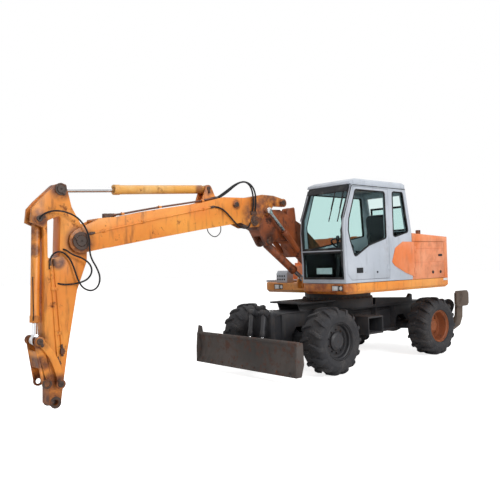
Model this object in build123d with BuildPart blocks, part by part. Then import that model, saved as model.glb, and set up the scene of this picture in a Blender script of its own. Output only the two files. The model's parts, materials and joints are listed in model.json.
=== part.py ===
from build123d import *
from math import asin, cos, sin
import os

os.makedirs("parts", exist_ok=True)

# Wheeled excavator with a two-piece boom, in millimetres.
# x runs from the stabilisers to the arm, y to the cab's side, z up. Every x below is measured from
# the slew centre; SHIFT moves the whole machine so that its box stands centred on the origin.

# ---------------------------------------------------------------- driving dimensions
ARM_NOSE_X = 5760.0           # foremost point of the arm head
STAB_X = -2250.0              # middle of the stabilisers
STAB_PAD_HALF = 220.0
SHIFT = -(ARM_NOSE_X + STAB_X - STAB_PAD_HALF) / 2

GAP = 8.0                     # clearance between pieces that move past each other
SHUT = 6.0                    # gap round doors and lids

# wheels and axles
FRONT_AXLE_X = 1290.0
REAR_AXLE_X = -1530.0
TYRE_R = 540.0
AXLE_Z = TYRE_R               # one lug lies flat on the ground
TYRE_WIDTH = 460.0
LUG_HEIGHT = 38.0
LUG_LENGTH = 64.0             # along the tread
LUG_LEAN = 0.16               # how far a lug trails along the tread, for its length across it
LUG_COUNT = 15                # in each of the two rows
RIM_R = 300.0
TRACK_HALF = 975.0            # centre plane of a wheel
KINGPIN_Y = 640.0
HUB_R = 150.0
STEER_ARM = 230.0

# chassis
RAIL_TOP = 985.0
RAIL_BOTTOM = 460.0
RAIL_HALF = 425.0             # half width over the flanges
WEB_HALF = 290.0
FLANGE = 55.0
CHASSIS_REAR = -2080.0
CHASSIS_FRONT = 1700.0
NOSE_HALF = 250.0
NOSE_FRONT = 1900.0
NOSE_TOP = 1000.0
RING_R = 600.0
RING_TOP = 1262.0
PEDESTAL_TOP = 1140.0

# blade
BLADE_PIVOT = (1640.0, 420.0)
BLADE_HALF = 1240.0
BLADE_TOP = 620.0
BLADE_BOTTOM = 120.0
BLADE_FRONT = 2350.0
BLADE_DISH = 95.0             # depth of its curve
BLADE_PLATE = 30.0
BLADE_ARM_Y = 330.0
BLADE_ARM_T = 50.0
BLADE_CYL_Y = 150.0
BLADE_CYL_BASE = (1965.0, 1000.0)
BLADE_CYL_EYE = (2050.0, 370.0)

# stabilisers
STAB_PIVOT = (930.0, 470.0)   # y, z
STAB_LEG_T = 200.0

# upper structure
PLAT_BOTTOM = 1270.0
PLAT_TOP = 1440.0
SIDE_Y = 1225.0
TAIL_R = 2150.0
TAIL_CORNER_X = -1760.0
WEIGHT_FRONT = -1650.0
PLAT_FRONT = 960.0
CAB_FRONT = 1170.0
CAB_REAR = -630.0
CAB_INNER_Y = 270.0
CAB_WALL = 45.0
GLASS_DEPTH = 18.0            # of a pane behind its wall's face
GLASS_T = 6.0
ROOF_BOTTOM = 3050.0
ROOF_TOP = ROOF_BOTTOM + 100
HOOD_BOTTOM = 2120.0
HOOD_TOP = 2270.0
DOOR_REAR = 30.0
HINGE_R = 7.0

# boom, arm and their pins (x, z)
BOOM_FOOT = (400.0, 1650.0)
BOOM_HALF = 125.0
KNUCKLE = (2140.0, 2500.0)
POSITION_EYE = (1855.0, 2668.0)
POSITION_BASE = (1150.0, 1960.0)
LIFT_EYE = (1800.0, 2165.0)
LIFT_BASE = (900.0, 1510.0)
OUTER_HALF = 160.0            # half width of the outer boom
EAR_T = 25.0
ARM_PIVOT = (5126.0, 2164.0)
ARM_TOP = (5366.0, 2829.0)
ARM_CYL_BASE = (2988.0, 2975.0)
ARM_HALF = 115.0
ARM_TIP = (5490.0, 130.0)
BUCKET_BASE = (5650.0, 2445.0)
BUCKET_EYE = (5700.0, 921.0)
ROCKER_PIN = (5441.0, 362.0)
LINK_END = (5609.0, 387.0)
LINK_T = 24.0
TIP_BORE_R = 35.0
ROCKER_BOW = 60.0

# flat facets that stand for a round: of a wheel, a bar or disc, a plate's rounded end, an eye, the tail
WHEEL_FACETS = 24
BAR_FACETS = 16
BOSS_FACETS = 12
EYE_FACETS = 12
TAIL_FACETS = 8

# pockets of the head lamps: face that a pocket is cut in, and its limits in y
LAMP_POCKETS = [(CAB_FRONT, (905.0, 1150.0)), (PLAT_FRONT, (-690.0, -450.0))]
LAMP_Z = (1325.0, 1415.0)
LAMP_DEPTH = 40.0

# outlines of the cab and of what is cut in it, as (x, z)
LOUVRES = 7
CHEEK = [
    (-676, HOOD_BOTTOM - 4), (-350, HOOD_BOTTOM - 4), (-136, 2008), (-38, 1768), (-119, 1698), (-431, 1568),
    (-676, PLAT_TOP + 60),
]
CAB_OUTLINE = [
    (CAB_REAR, PLAT_TOP + 10), (CAB_FRONT, PLAT_TOP + 10), (CAB_FRONT + 30, 2300), (CAB_FRONT + 5, 2520),
    (960, ROOF_BOTTOM), (-480, ROOF_BOTTOM), (CAB_REAR, 2290),
]
DOOR_OUTLINE = [
    (DOOR_REAR, PLAT_TOP + 60), (1020, PLAT_TOP + 60), (1120, PLAT_TOP + 160), (1150, 2300), (1125, 2500),
    (930, ROOF_BOTTOM - 40), (DOOR_REAR, ROOF_BOTTOM - 40),
]
DOOR_WINDOW = [
    (100, 2180), (560, 2060), (930, 1870), (1040, 2140), (1080, 2300), (1060, 2480),
    (880, ROOF_BOTTOM - 90), (110, ROOF_BOTTOM - 90),
]
REAR_WINDOW = [(-110, 2190), (-540, 2290), (-400, ROOF_BOTTOM - 70), (-110, ROOF_BOTTOM - 70)]
INNER_WINDOW = [
    (-450, 2250), (1050, 2000), (1080, 2400), (880, ROOF_BOTTOM - 90), (-400, ROOF_BOTTOM - 90),
]
SCREENS = [(1530.0, 1950.0), (2005.0, ROOF_BOTTOM - 60)]     # lower and upper pane of the front, in z
WINDOW_R = 45.0

# ---------------------------------------------------------------- planes and shared shapes
def side(y):
    """Vertical plane along the machine: local x is x, local y is z, and it faces -y."""
    return Plane(origin=(SHIFT, y, 0), x_dir=(1, 0, 0), z_dir=(0, -1, 0))


def level(z):
    """Horizontal plane at height z."""
    return Plane(origin=(SHIFT, 0, z))


def across(x):
    """Vertical plane across the machine: local x is y, local y is z, and it faces +x."""
    return Plane(origin=(SHIFT + x, 0, 0), x_dir=(0, 1, 0), z_dir=(1, 0, 0))


def prism(plane, points, depth, corner=0.0, mode=Mode.ADD):
    """Extrude a closed outline from a plane, its corners rounded by one radius."""
    with BuildSketch(plane) as outline:
        with BuildLine():
            Polyline(*points, close=True)
        make_face()
        if corner:
            fillet(outline.vertices(), corner)
    extrude(outline.sketch, amount=depth, mode=mode)


def drum(plane, centre, radius, depth, mode=Mode.ADD):
    """Extrude a circle from a plane."""
    with BuildSketch(plane) as outline:
        with Locations(centre):
            Circle(radius)
    extrude(outline.sketch, amount=depth, mode=mode)


def disc(plane, centre, radius, depth, sides=BAR_FACETS):
    """Extrude a round drawn with flat facets from a plane."""
    with BuildSketch(plane) as outline:
        with Locations(centre):
            RegularPolygon(radius, sides)
    extrude(outline.sketch, amount=depth)


def lug_plate(plane, rounds, depth, mode=Mode.ADD):
    """Extrude the outline drawn tight round some bosses, given as (centre, radius)."""
    with BuildSketch(plane) as outline:
        for centre, radius in rounds:
            with Locations(centre):
                RegularPolygon(radius, BOSS_FACETS)
        make_hull()
    extrude(outline.sketch, amount=depth, mode=mode)


def block(x, y, z, mode=Mode.ADD):
    """Box between pairs of limits."""
    with BuildSketch(level(z[0])) as outline:
        with Locations(((x[0] + x[1]) / 2, (y[0] + y[1]) / 2)):
            Rectangle(x[1] - x[0], y[1] - y[0])
    extrude(outline.sketch, amount=z[1] - z[0], mode=mode)


def mirrored(sign, near, far):
    """Pair of limits in y, in rising order, on the side that sign gives."""
    return sorted((sign * near, sign * far))


def rod_between(start, end, y, radius):
    """Bar with flat facets between two points (x, z) at one y."""
    line = Plane(
        origin=(SHIFT + start[0], y, start[1]),
        x_dir=(0, 1, 0),
        z_dir=(end[0] - start[0], 0, end[1] - start[1]),
    )
    with BuildSketch(line) as outline:
        RegularPolygon(radius, BAR_FACETS)
    extrude(outline.sketch, amount=distance(start, end))


def bore_between(start, end, y, radius):
    """Cut that clears a bar of a radius, between two points (x, z) at one y."""
    line = Plane(
        origin=(SHIFT + start[0], y, start[1]),
        x_dir=(0, 1, 0),
        z_dir=(end[0] - start[0], 0, end[1] - start[1]),
    )
    with BuildSketch(line) as outline:
        RegularPolygon(radius, EYE_FACETS, major_radius=False)
    extrude(outline.sketch, amount=distance(start, end), mode=Mode.SUBTRACT)


def distance(a, b):
    return ((a[0] - b[0]) ** 2 + (a[1] - b[1]) ** 2) ** 0.5


def along(a, b, length):
    """Point at a length from a towards b."""
    share = length / distance(a, b)
    return (a[0] + (b[0] - a[0]) * share, a[1] + (b[1] - a[1]) * share)


def beside(a, b, length, out):
    """Point at a length from a towards b, set off to the left of that line."""
    x, z = along(a, b, length)
    turn = out / distance(a, b)
    return (x - (b[1] - a[1]) * turn, z + (b[0] - a[0]) * turn)


def tail_points():
    """Places (x, y) round the tail, from its far corner to its near one."""
    depth = TAIL_R + TAIL_CORNER_X
    radius = (SIDE_Y ** 2 + depth ** 2) / (2 * depth)
    half_turn = asin(SIDE_Y / radius)
    turns = [half_turn * (2 * k / TAIL_FACETS - 1) for k in range(TAIL_FACETS + 1)]
    return [(radius - TAIL_R - radius * cos(turn), radius * sin(turn)) for turn in turns]


def tail_prism(z, depth, front, mode=Mode.ADD):
    """Extrude the plan behind a line across the machine: straight sides and a round tail."""
    prism(level(z), [*tail_points(), (front, SIDE_Y), (front, -SIDE_Y)], depth, mode=mode)


def keep(piece, name):
    """Label a finished piece and write it."""
    piece.part.label = name
    export_step(piece.part, f"parts/{name}.step")


# ---------------------------------------------------------------- wheels
def turned(axle_x, sections, sides, mode=Mode.ADD):
    """Turning about an axle line, in flat facets; sections are (y, radius) pairs."""
    rings = []
    for y, radius in sections:
        centre = Vector(SHIFT + axle_x, y, AXLE_Z)
        corner = Vector(0, 0, radius)
        rings.append([centre + corner.rotate(Axis.Y, (k + 0.5) * 360 / sides) for k in range(sides)])
    facets = [Face(Wire.make_polygon(rings[0])), Face(Wire.make_polygon(rings[-1]))]
    for near, far in zip(rings, rings[1:]):
        for k in range(sides):
            facets.append(Face(Wire.make_polygon([near[k - 1], near[k], far[k], far[k - 1]])))
    add(Solid(Shell(facets)), mode=mode)


def tyre(name, axle_x, side_sign):
    """Casing with two rows of leaning lugs that run over its crown and down its shoulders."""
    middle = side_sign * TRACK_HALF
    half = TYRE_WIDTH / 2
    crown = TYRE_R - LUG_HEIGHT
    casing = [
        (-half * 0.84, RIM_R), (-half * 0.96, crown - 110), (-half * 0.78, crown),
        (half * 0.78, crown), (half * 0.96, crown - 110), (half * 0.84, RIM_R),
    ]
    # a lug's section: across the tread from its middle, outwards from the axle
    section = [
        (6, crown - 25), (6, TYRE_R), (half * 0.72, TYRE_R), (half - 4, TYRE_R - 52),
        (half - 4, crown - 75), (half * 0.86, crown - 75),
    ]
    stretch = (1 + LUG_LEAN ** 2) ** 0.5
    back = LUG_LENGTH / 2 + LUG_LEAN * half / 2
    with BuildPart() as wheel:
        turned(axle_x, [(middle + y, radius) for y, radius in casing], WHEEL_FACETS)
        turned(axle_x, [(middle - half, RIM_R), (middle + half, RIM_R)], WHEEL_FACETS,
               mode=Mode.SUBTRACT)
        for row, first in ((1, 0.0), (-1, 0.5)):
            for index in range(LUG_COUNT):
                turn = (index + first) * 360 / LUG_COUNT
                out = Vector(0, 0, 1).rotate(Axis.Y, turn)
                ahead = Vector(1, 0, 0).rotate(Axis.Y, turn)
                tread = Vector(0, row, 0) + ahead * LUG_LEAN
                corner = Vector(SHIFT + axle_x, middle, AXLE_Z) - ahead * back
                with BuildSketch(Plane(origin=corner, x_dir=tread, z_dir=tread.cross(out))) as lug:
                    with BuildLine():
                        Polyline(*[(a * stretch, b) for a, b in section], close=True)
                    make_face()
                extrude(lug.sketch, amount=LUG_LENGTH, dir=ahead)
    keep(wheel, name)


def rim(name, axle_x, side_sign, dish, cap_r):
    """Rim with its disc and hub; dish is how far the disc stands inside the outer edge."""
    bed = RIM_R - 1
    edge = TYRE_WIDTH / 2 * 0.84
    face = edge - dish
    # how a shape stands to the rim, its facets, and its (distance from the wheel's middle, radius)
    shapes = [
        (Mode.ADD, WHEEL_FACETS, [(-edge, bed), (edge, bed)]),
        (Mode.SUBTRACT, WHEEL_FACETS, [(edge + 1, bed - 12), (edge - 35, bed - 32), (face, bed - 36)]),
        (Mode.SUBTRACT, WHEEL_FACETS, [(-edge - 1, bed - 14), (face - 26, bed - 44)]),
        (Mode.ADD, BAR_FACETS, [(face - 90, cap_r), (face + 36, cap_r), (face + 60, cap_r - 34)]),
    ]
    with BuildPart() as wheel:
        for mode, sides, sections in shapes:
            turned(axle_x, [(side_sign * (TRACK_HALF + y), r) for y, r in sections], sides, mode=mode)
    keep(wheel, name)


# name, axle x, disc depth, radius of the hub's cap
AXLES = [("front", FRONT_AXLE_X, 95.0, HUB_R), ("rear", REAR_AXLE_X, 190.0, HUB_R - 20)]
SIDES = [("left", 1), ("right", -1)]


def wheels():
    for end, axle_x, dish, cap_r in AXLES:
        for hand, sign in SIDES:
            tyre(f"tyre_{end}_{hand}", axle_x, sign)
            rim(f"rim_{end}_{hand}", axle_x, sign, dish, cap_r)


# ---------------------------------------------------------------- hydraulic cylinders
# name, base pin, rod pin, barrel length from the base pin, barrel radius, rod radius,
# how far the rod can still go in, eye radius, y of each copy
RAMS = {
    "lift": (LIFT_EYE, LIFT_BASE, 850.0, 68.0, 38.0, 190.0, 62.0, (0.0,)),
    "position": (POSITION_BASE, POSITION_EYE, 524.0, 48.0, 30.0, 70.0, 52.0, (205.0, -205.0)),
    "arm_cylinder": (ARM_CYL_BASE, ARM_TOP, 1575.0, 65.0, 36.0, 510.0, 62.0, (0.0,)),
    "bucket_cylinder": (BUCKET_BASE, BUCKET_EYE, 1300.0, 56.0, 34.0, 60.0, 60.0, (0.0,)),
    "blade_cylinder": (
        BLADE_CYL_BASE, BLADE_CYL_EYE, 395.0, 42.0, 26.0, 170.0, 45.0, (BLADE_CYL_Y, -BLADE_CYL_Y),
    ),
}


def eye_block(centre, other, y, radius, half, neck_half):
    """Eye of a cylinder: a twelve-sided boss with a square neck that runs towards the other pin."""
    with BuildSketch(side(y + half)) as outline:
        with Locations(centre):
            RegularPolygon(radius, EYE_FACETS)
    extrude(outline.sketch, amount=2 * half)
    corners = [(0, 1), (radius + 16, 1), (radius + 16, -1), (0, -1)]
    points = [beside(centre, other, length, out * radius * 0.62) for length, out in corners]
    prism(side(y + neck_half), points, 2 * neck_half)


def ram(name):
    """Barrel with a bore, and its rod; the rod's eye stands at its pin with no pin of its own."""
    base, eye, barrel, barrel_r, rod_r, inward, eye_r, copies = RAMS[name]
    mouth = along(base, eye, barrel)
    with BuildPart() as outer:
        for y in copies:
            eye_block(base, eye, y, eye_r, barrel_r + 2, barrel_r * 0.68)
            rod_between(along(base, eye, eye_r + 8), mouth, y, barrel_r)
            rod_between(along(base, eye, barrel - 90), mouth, y, barrel_r + 7)
        for y in copies:
            bore_between(along(base, eye, eye_r + 40), along(base, eye, barrel + 50), y, rod_r + 3)
    keep(outer, f"{name}_barrel")
    with BuildPart() as inner:
        for y in copies:
            eye_block(eye, base, y, eye_r, rod_r + 3, rod_r + 3)
            rod_between(along(base, eye, eye_r + 50 + inward), along(eye, base, eye_r + 4), y, rod_r)
    keep(inner, f"{name}_rod")


# ---------------------------------------------------------------- undercarriage
def chassis():
    rail = [
        (CHASSIS_REAR, RAIL_BOTTOM + 60), (-1950, RAIL_BOTTOM), (CHASSIS_FRONT, RAIL_BOTTOM),
        (CHASSIS_FRONT, RAIL_TOP - 40), (1250, RAIL_TOP), (CHASSIS_REAR, RAIL_TOP),
    ]
    nose = [
        (CHASSIS_FRONT - 60, 340), (NOSE_FRONT - 90, 340), (NOSE_FRONT, 560),
        (NOSE_FRONT, NOSE_TOP - 20), (NOSE_FRONT - 30, NOSE_TOP), (CHASSIS_FRONT - 60, NOSE_TOP - 40),
    ]
    with BuildPart() as frame:
        prism(side(WEB_HALF), rail, 2 * WEB_HALF)
        block((CHASSIS_REAR, 1000), (-RAIL_HALF, RAIL_HALF), (RAIL_TOP - FLANGE, RAIL_TOP))
        block((-1250, 1000), (-RAIL_HALF, RAIL_HALF), (RAIL_BOTTOM, RAIL_BOTTOM + FLANGE))
        for x in (-1200, -620, 620, 960):
            block((x - 15, x + 15), (20 - RAIL_HALF, RAIL_HALF - 20), (RAIL_BOTTOM, RAIL_TOP))
        # seats cut from below, so that the axle housings pass under the box
        for axle_x in (FRONT_AXLE_X, REAR_AXLE_X):
            seat = [(-190, RAIL_BOTTOM - 10), (-190, AXLE_Z + 70), (-90, AXLE_Z + 185),
                    (90, AXLE_Z + 185), (190, AXLE_Z + 70), (190, RAIL_BOTTOM - 10)]
            prism(side(WEB_HALF + 10), [(axle_x + x, z) for x, z in seat], 2 * WEB_HALF + 20,
                  mode=Mode.SUBTRACT)
        block((FRONT_AXLE_X - STEER_ARM - 70, FRONT_AXLE_X), (-WEB_HALF - 10, WEB_HALF + 10),
              (RAIL_BOTTOM - 10, AXLE_Z + 20), mode=Mode.SUBTRACT)
        # nose that carries the blade, with a guard at each side of its cylinders
        prism(side(NOSE_HALF), nose, 2 * NOSE_HALF)
        for sign in (1, -1):
            low, high = mirrored(sign, NOSE_HALF - 30, NOSE_HALF + 15)
            block((NOSE_FRONT - 60, NOSE_FRONT + 35), (low, high), (500, NOSE_TOP - 30))
            for offset in (48, -68):
                low, high = mirrored(sign, BLADE_CYL_Y + offset, BLADE_CYL_Y + offset + 20)
                rounds = [(BLADE_CYL_BASE, 48), ((NOSE_FRONT - 20, NOSE_TOP - 70), 40)]
                lug_plate(side(high), rounds, high - low)
        # pedestal and ring
        with BuildSketch(level(RAIL_TOP - 5)) as pedestal:
            RegularPolygon(RING_R + 50, WHEEL_FACETS)
        extrude(pedestal.sketch, amount=PEDESTAL_TOP - RAIL_TOP + 5)
        disc(level(PEDESTAL_TOP - 1), (0, 0), RING_R, RING_TOP - PEDESTAL_TOP + 1, sides=WHEEL_FACETS)
        # deck in front of the pedestal on its gussets
        block((500, 1330), (-400, 400), (PEDESTAL_TOP - 40, PEDESTAL_TOP - 10))
        for y in (-260, 230):
            prism(side(y + 30), [(600, RAIL_TOP - 20), (1240, RAIL_TOP - 20), (1290, PEDESTAL_TOP - 35),
                                 (600, PEDESTAL_TOP - 35)], 30)
        # bar along the cab's side of the rear deck, with a lug at its end
        prism(side(440), [(-1720, RAIL_TOP - 5), (-560, RAIL_TOP - 5), (-560, PEDESTAL_TOP - 25),
                          (-1600, 1060), (-1660, 1130), (-1720, 1110)], 60)
        # crossbeam of the stabilisers and the round plates that guard their legs
        reach = STAB_PIVOT[0] - 170
        block((STAB_X - 130, STAB_X + 130), (-reach, reach), (420, 760))
        for sign in (1, -1):
            rounds = [((sign * (reach - 160), 590), 150), ((sign * (reach + 90), 520), 110),
                      ((sign * (reach + 230), 890), 120)]
            lug_plate(across(STAB_X + STAB_LEG_T / 2 + GAP), rounds, 24)
        block((CHASSIS_REAR - 60, CHASSIS_REAR + 10), (-WEB_HALF, WEB_HALF), (430, 900))
    keep(frame, "chassis_frame")


def steps():
    """Two treads between tapered side plates on each side, between the wheels."""
    cheek = [(1, 860), (1, 470), (0.86, 540), (0, 560), (0, 860)]
    span = 640.0
    with BuildPart() as boxes:
        for sign in (1, -1):
            low, high = mirrored(sign, RAIL_HALF + 10, RAIL_HALF + 10 + span)
            for z in (560, 830):
                block((60, 460), (low, high), (z, z + 30))
            points = [(sign * (RAIL_HALF + 10 + span * (1 - share)), z) for share, z in cheek]
            for x in (60, 440):
                prism(across(x), points, 20)
    keep(boxes, "access_steps")


def axle_housing(name, axle_x, half_length, steered):
    """Cast housing, eight-sided along its length, swollen round the drive in the middle."""
    # share of the half length, radius
    sections = [
        (-1, 112), (-0.82, 84), (-0.42, 96), (-0.2, 172), (0.2, 172), (0.42, 96), (0.82, 84), (1, 112),
    ]
    with BuildPart() as housing:
        turned(axle_x, [(share * half_length, radius) for share, radius in sections], 8)
        for sign in (1, -1):
            if steered:
                low, high = mirrored(sign, half_length - 50, half_length)
                block((axle_x - 60, axle_x + 60), (low, high), (AXLE_Z - 145, AXLE_Z + 145))
                for z in (AXLE_Z + 105, AXLE_Z - 145):
                    yoke = [((axle_x, sign * (half_length - 10)), 60), ((axle_x, sign * KINGPIN_Y), 60)]
                    lug_plate(level(z), yoke, 40)
            else:
                ends = sorted((sign * (half_length - 50), sign * (half_length + 60)))
                turned(axle_x, [(y, HUB_R + 10) for y in ends], 16)
    keep(housing, name)


def knuckles():
    """Steered hub carriers between the yokes of the front axle."""
    for hand, sign in SIDES:
        with BuildPart() as knuckle:
            with BuildSketch(level(AXLE_Z - 103)) as trunk:
                with Locations((FRONT_AXLE_X, sign * KINGPIN_Y)):
                    RegularPolygon(75, EYE_FACETS)
            extrude(trunk.sketch, amount=206)
            ends = sorted((sign * KINGPIN_Y, sign * (TRACK_HALF - 60)))
            turned(FRONT_AXLE_X, [(y, 78) for y in ends], 8)
            prism(
                level(AXLE_Z - 20),
                [(FRONT_AXLE_X - STEER_ARM - 40, sign * (KINGPIN_Y - 30)),
                 (FRONT_AXLE_X, sign * (KINGPIN_Y - 40)), (FRONT_AXLE_X, sign * (KINGPIN_Y + 40)),
                 (FRONT_AXLE_X - STEER_ARM - 40, sign * (KINGPIN_Y + 30))],
                40,
            )
        keep(knuckle, f"knuckle_{hand}")


def steering_rod():
    """Rod of the steering cylinder: its end blocks lie under the arms of both hub carriers."""
    x = FRONT_AXLE_X - STEER_ARM
    z = AXLE_Z - 62
    with BuildPart() as rod:
        disc(side(KINGPIN_Y), (x, z), 20, 2 * KINGPIN_Y)
        for sign in (1, -1):
            low, high = mirrored(sign, KINGPIN_Y - 45, KINGPIN_Y + 45)
            block((x - 40, x + 40), (low, high), (z - 24, z + 34))
    keep(rod, "steering_rod")
    with BuildPart() as cylinder:
        disc(side(260), (x, z), 45, 520)
        with BuildSketch(side(265)) as bore:
            with Locations((x, z)):
                RegularPolygon(22, EYE_FACETS, major_radius=False)
        extrude(bore.sketch, amount=530, mode=Mode.SUBTRACT)
    keep(cylinder, "steering_cylinder")


# ---------------------------------------------------------------- blade and stabilisers
def blade():
    middle = (BLADE_TOP + BLADE_BOTTOM) / 2 + 20
    with BuildPart() as piece:
        # curved plate, its lip and the tube along its top
        with BuildSketch(side(BLADE_HALF)) as section:
            with BuildLine():
                ThreePointArc((BLADE_FRONT, BLADE_BOTTOM), (BLADE_FRONT - BLADE_DISH, middle),
                              (BLADE_FRONT - 40, BLADE_TOP))
                Line((BLADE_FRONT - 40, BLADE_TOP), (BLADE_FRONT - 40 - BLADE_PLATE, BLADE_TOP))
                ThreePointArc((BLADE_FRONT - 40 - BLADE_PLATE, BLADE_TOP),
                              (BLADE_FRONT - BLADE_DISH - BLADE_PLATE, middle),
                              (BLADE_FRONT - BLADE_PLATE, BLADE_BOTTOM))
                Line((BLADE_FRONT - BLADE_PLATE, BLADE_BOTTOM), (BLADE_FRONT, BLADE_BOTTOM))
            make_face()
        extrude(section.sketch, amount=2 * BLADE_HALF)
        disc(side(BLADE_HALF), (BLADE_FRONT - 74, BLADE_TOP - 12), 32, 2 * BLADE_HALF)
        # box beam along its back
        beam = [
            (BLADE_FRONT - BLADE_DISH - 20, middle + 90), (BLADE_FRONT - 205, middle + 60),
            (BLADE_FRONT - 205, middle - 60), (BLADE_FRONT - BLADE_DISH - 20, middle - 90),
        ]
        prism(side(BLADE_HALF - 60), beam, 2 * (BLADE_HALF - 60))
        cheek = [
            (BLADE_FRONT - 150, BLADE_TOP), (BLADE_FRONT - 25, BLADE_TOP), (BLADE_FRONT - 5, 380),
            (BLADE_FRONT, BLADE_BOTTOM), (BLADE_FRONT - 110, BLADE_BOTTOM), (BLADE_FRONT - 170, 300),
        ]
        for y in (BLADE_HALF, BLADE_PLATE - BLADE_HALF):
            prism(side(y), cheek, BLADE_PLATE)
        # horn at the far corner
        horn = [
            (BLADE_FRONT - 140, BLADE_TOP - 10), (BLADE_FRONT - 120, BLADE_TOP + 110),
            (BLADE_FRONT - 60, BLADE_TOP + 130), (BLADE_FRONT - 30, BLADE_TOP - 10),
        ]
        prism(side(BLADE_PLATE - BLADE_HALF), horn, BLADE_PLATE)
        for sign in (1, -1):
            high = sign * BLADE_ARM_Y + BLADE_ARM_T / 2
            prism(
                side(high),
                [(BLADE_PIVOT[0] - 20, 350), (BLADE_FRONT - 110, 200), (BLADE_FRONT - 110, 540),
                 (BLADE_PIVOT[0] + 60, 492), (BLADE_PIVOT[0] - 20, 492)],
                BLADE_ARM_T,
            )
            drum(side(high), BLADE_PIVOT, 75, BLADE_ARM_T)
            for offset in (34, -50):
                low, top = mirrored(sign, BLADE_CYL_Y + offset, BLADE_CYL_Y + offset + 16)
                lug_plate(side(top), [(BLADE_CYL_EYE, 48), ((BLADE_FRONT - 150, middle + 20), 50),
                                      ((BLADE_FRONT - 150, middle - 40), 50)], top - low)
    keep(piece, "blade")


def stabilisers():
    """Legs folded up beside the crossbeam: a bowed strip that carries a broad pad."""
    y, z = STAB_PIVOT
    outline = [
        (y - 90, z - 60), (y + 40, z - 80), (y + 170, z + 20), (y + 225, z + 180), (y + 235, z + 410),
        (y + 185, z + 430), (y + 170, z + 220), (y + 100, z + 110), (y - 90, z + 90),
    ]
    for hand, sign in SIDES:
        with BuildPart() as leg:
            prism(across(STAB_X - STAB_LEG_T / 2), [(sign * a, b) for a, b in outline], STAB_LEG_T)
            drum(across(STAB_X - STAB_LEG_T / 2), (sign * (y - 90), z + 15), 75, STAB_LEG_T)
            low, high = mirrored(sign, y + 190, y + 300)
            block((STAB_X - 60, STAB_X + 60), (low, high), (z + 400, z + 470))
            high = max(mirrored(sign, y + 250, y + 300))
            pad = [(STAB_X + a * STAB_PAD_HALF, z + b) for a, b in
                   ((-0.77, 400), (-1, 450), (-1, 650), (-0.77, 700), (0.77, 700), (1, 650), (1, 450), (0.77, 400))]
            prism(side(high), pad, 50)
        keep(leg, f"stabiliser_{hand}")


# ---------------------------------------------------------------- upper structure
def platform():
    with BuildPart() as deck:
        plan = [
            *tail_points(), (CAB_FRONT, SIDE_Y), (CAB_FRONT, CAB_INNER_Y - 10), (PLAT_FRONT, CAB_INNER_Y - 10),
            (PLAT_FRONT, -880), (620, -SIDE_Y),
        ]
        prism(level(PLAT_BOTTOM), plan, PLAT_TOP - PLAT_BOTTOM)
        fillet(deck.edges().filter_by(Axis.Z).group_by(Axis.X)[-1], 60)
        chamfer(deck.faces().sort_by(Axis.Z)[0].edges(), 45)
        # brackets of the boom foot with their pin's caps, and of the lift cylinder
        for sign in (1, -1):
            low, high = mirrored(sign, BOOM_HALF + GAP, BOOM_HALF + GAP + 30)
            rounds = [(BOOM_FOOT, 130), ((190, PLAT_TOP + 35), 40), ((820, PLAT_TOP + 35), 40)]
            lug_plate(side(high), rounds, high - low)
            low, high = mirrored(sign, BOOM_HALF + GAP + 29, BOOM_HALF + GAP + 50)
            disc(side(high), BOOM_FOOT, 75, high - low)
            low, high = mirrored(sign, 48, 76)
            lug_plate(side(high), [(LIFT_BASE, 62), ((LIFT_BASE[0], PLAT_TOP - 40), 80)], high - low)
        # slot for the lift cylinder's lower end
        block((780, PLAT_FRONT + 5), (-47, 47), (1350, PLAT_TOP + 5), mode=Mode.SUBTRACT)
        # pockets for the head lamps
        for front, y_range in LAMP_POCKETS:
            block((front - LAMP_DEPTH, front + 5), y_range, LAMP_Z, mode=Mode.SUBTRACT)
    keep(deck, "platform")


def lamps():
    """A square and a round lamp in each pocket, and one on the tail's near corner."""
    with BuildPart() as lights:
        for front, (low, high) in LAMP_POCKETS:
            middle = (LAMP_Z[0] + LAMP_Z[1]) / 2
            block((front - LAMP_DEPTH, front - 12), (low + 12, low + 130), (LAMP_Z[0] + 8, LAMP_Z[1] - 8))
            disc(across(front - LAMP_DEPTH), (high - 52, middle), 38, LAMP_DEPTH - 12)
        block((-1730, -1600), (SIDE_Y, SIDE_Y + 10), (PLAT_TOP - 45, PLAT_TOP - 5))
    keep(lights, "lamps")


def counterweight():
    """Cast weight that closes the tail below the hood."""
    with BuildPart() as weight:
        tail_prism(PLAT_TOP + 2, HOOD_BOTTOM - PLAT_TOP - 4, WEIGHT_FRONT)
        # pocket with a lifting eye's seat at each side of the tail
        for sign in (1, -1):
            low, high = mirrored(sign, 520, 640)
            block((-TAIL_R - 10, -1980), (low, high), (HOOD_BOTTOM - 120, HOOD_BOTTOM), mode=Mode.SUBTRACT)
    keep(weight, "counterweight")


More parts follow.
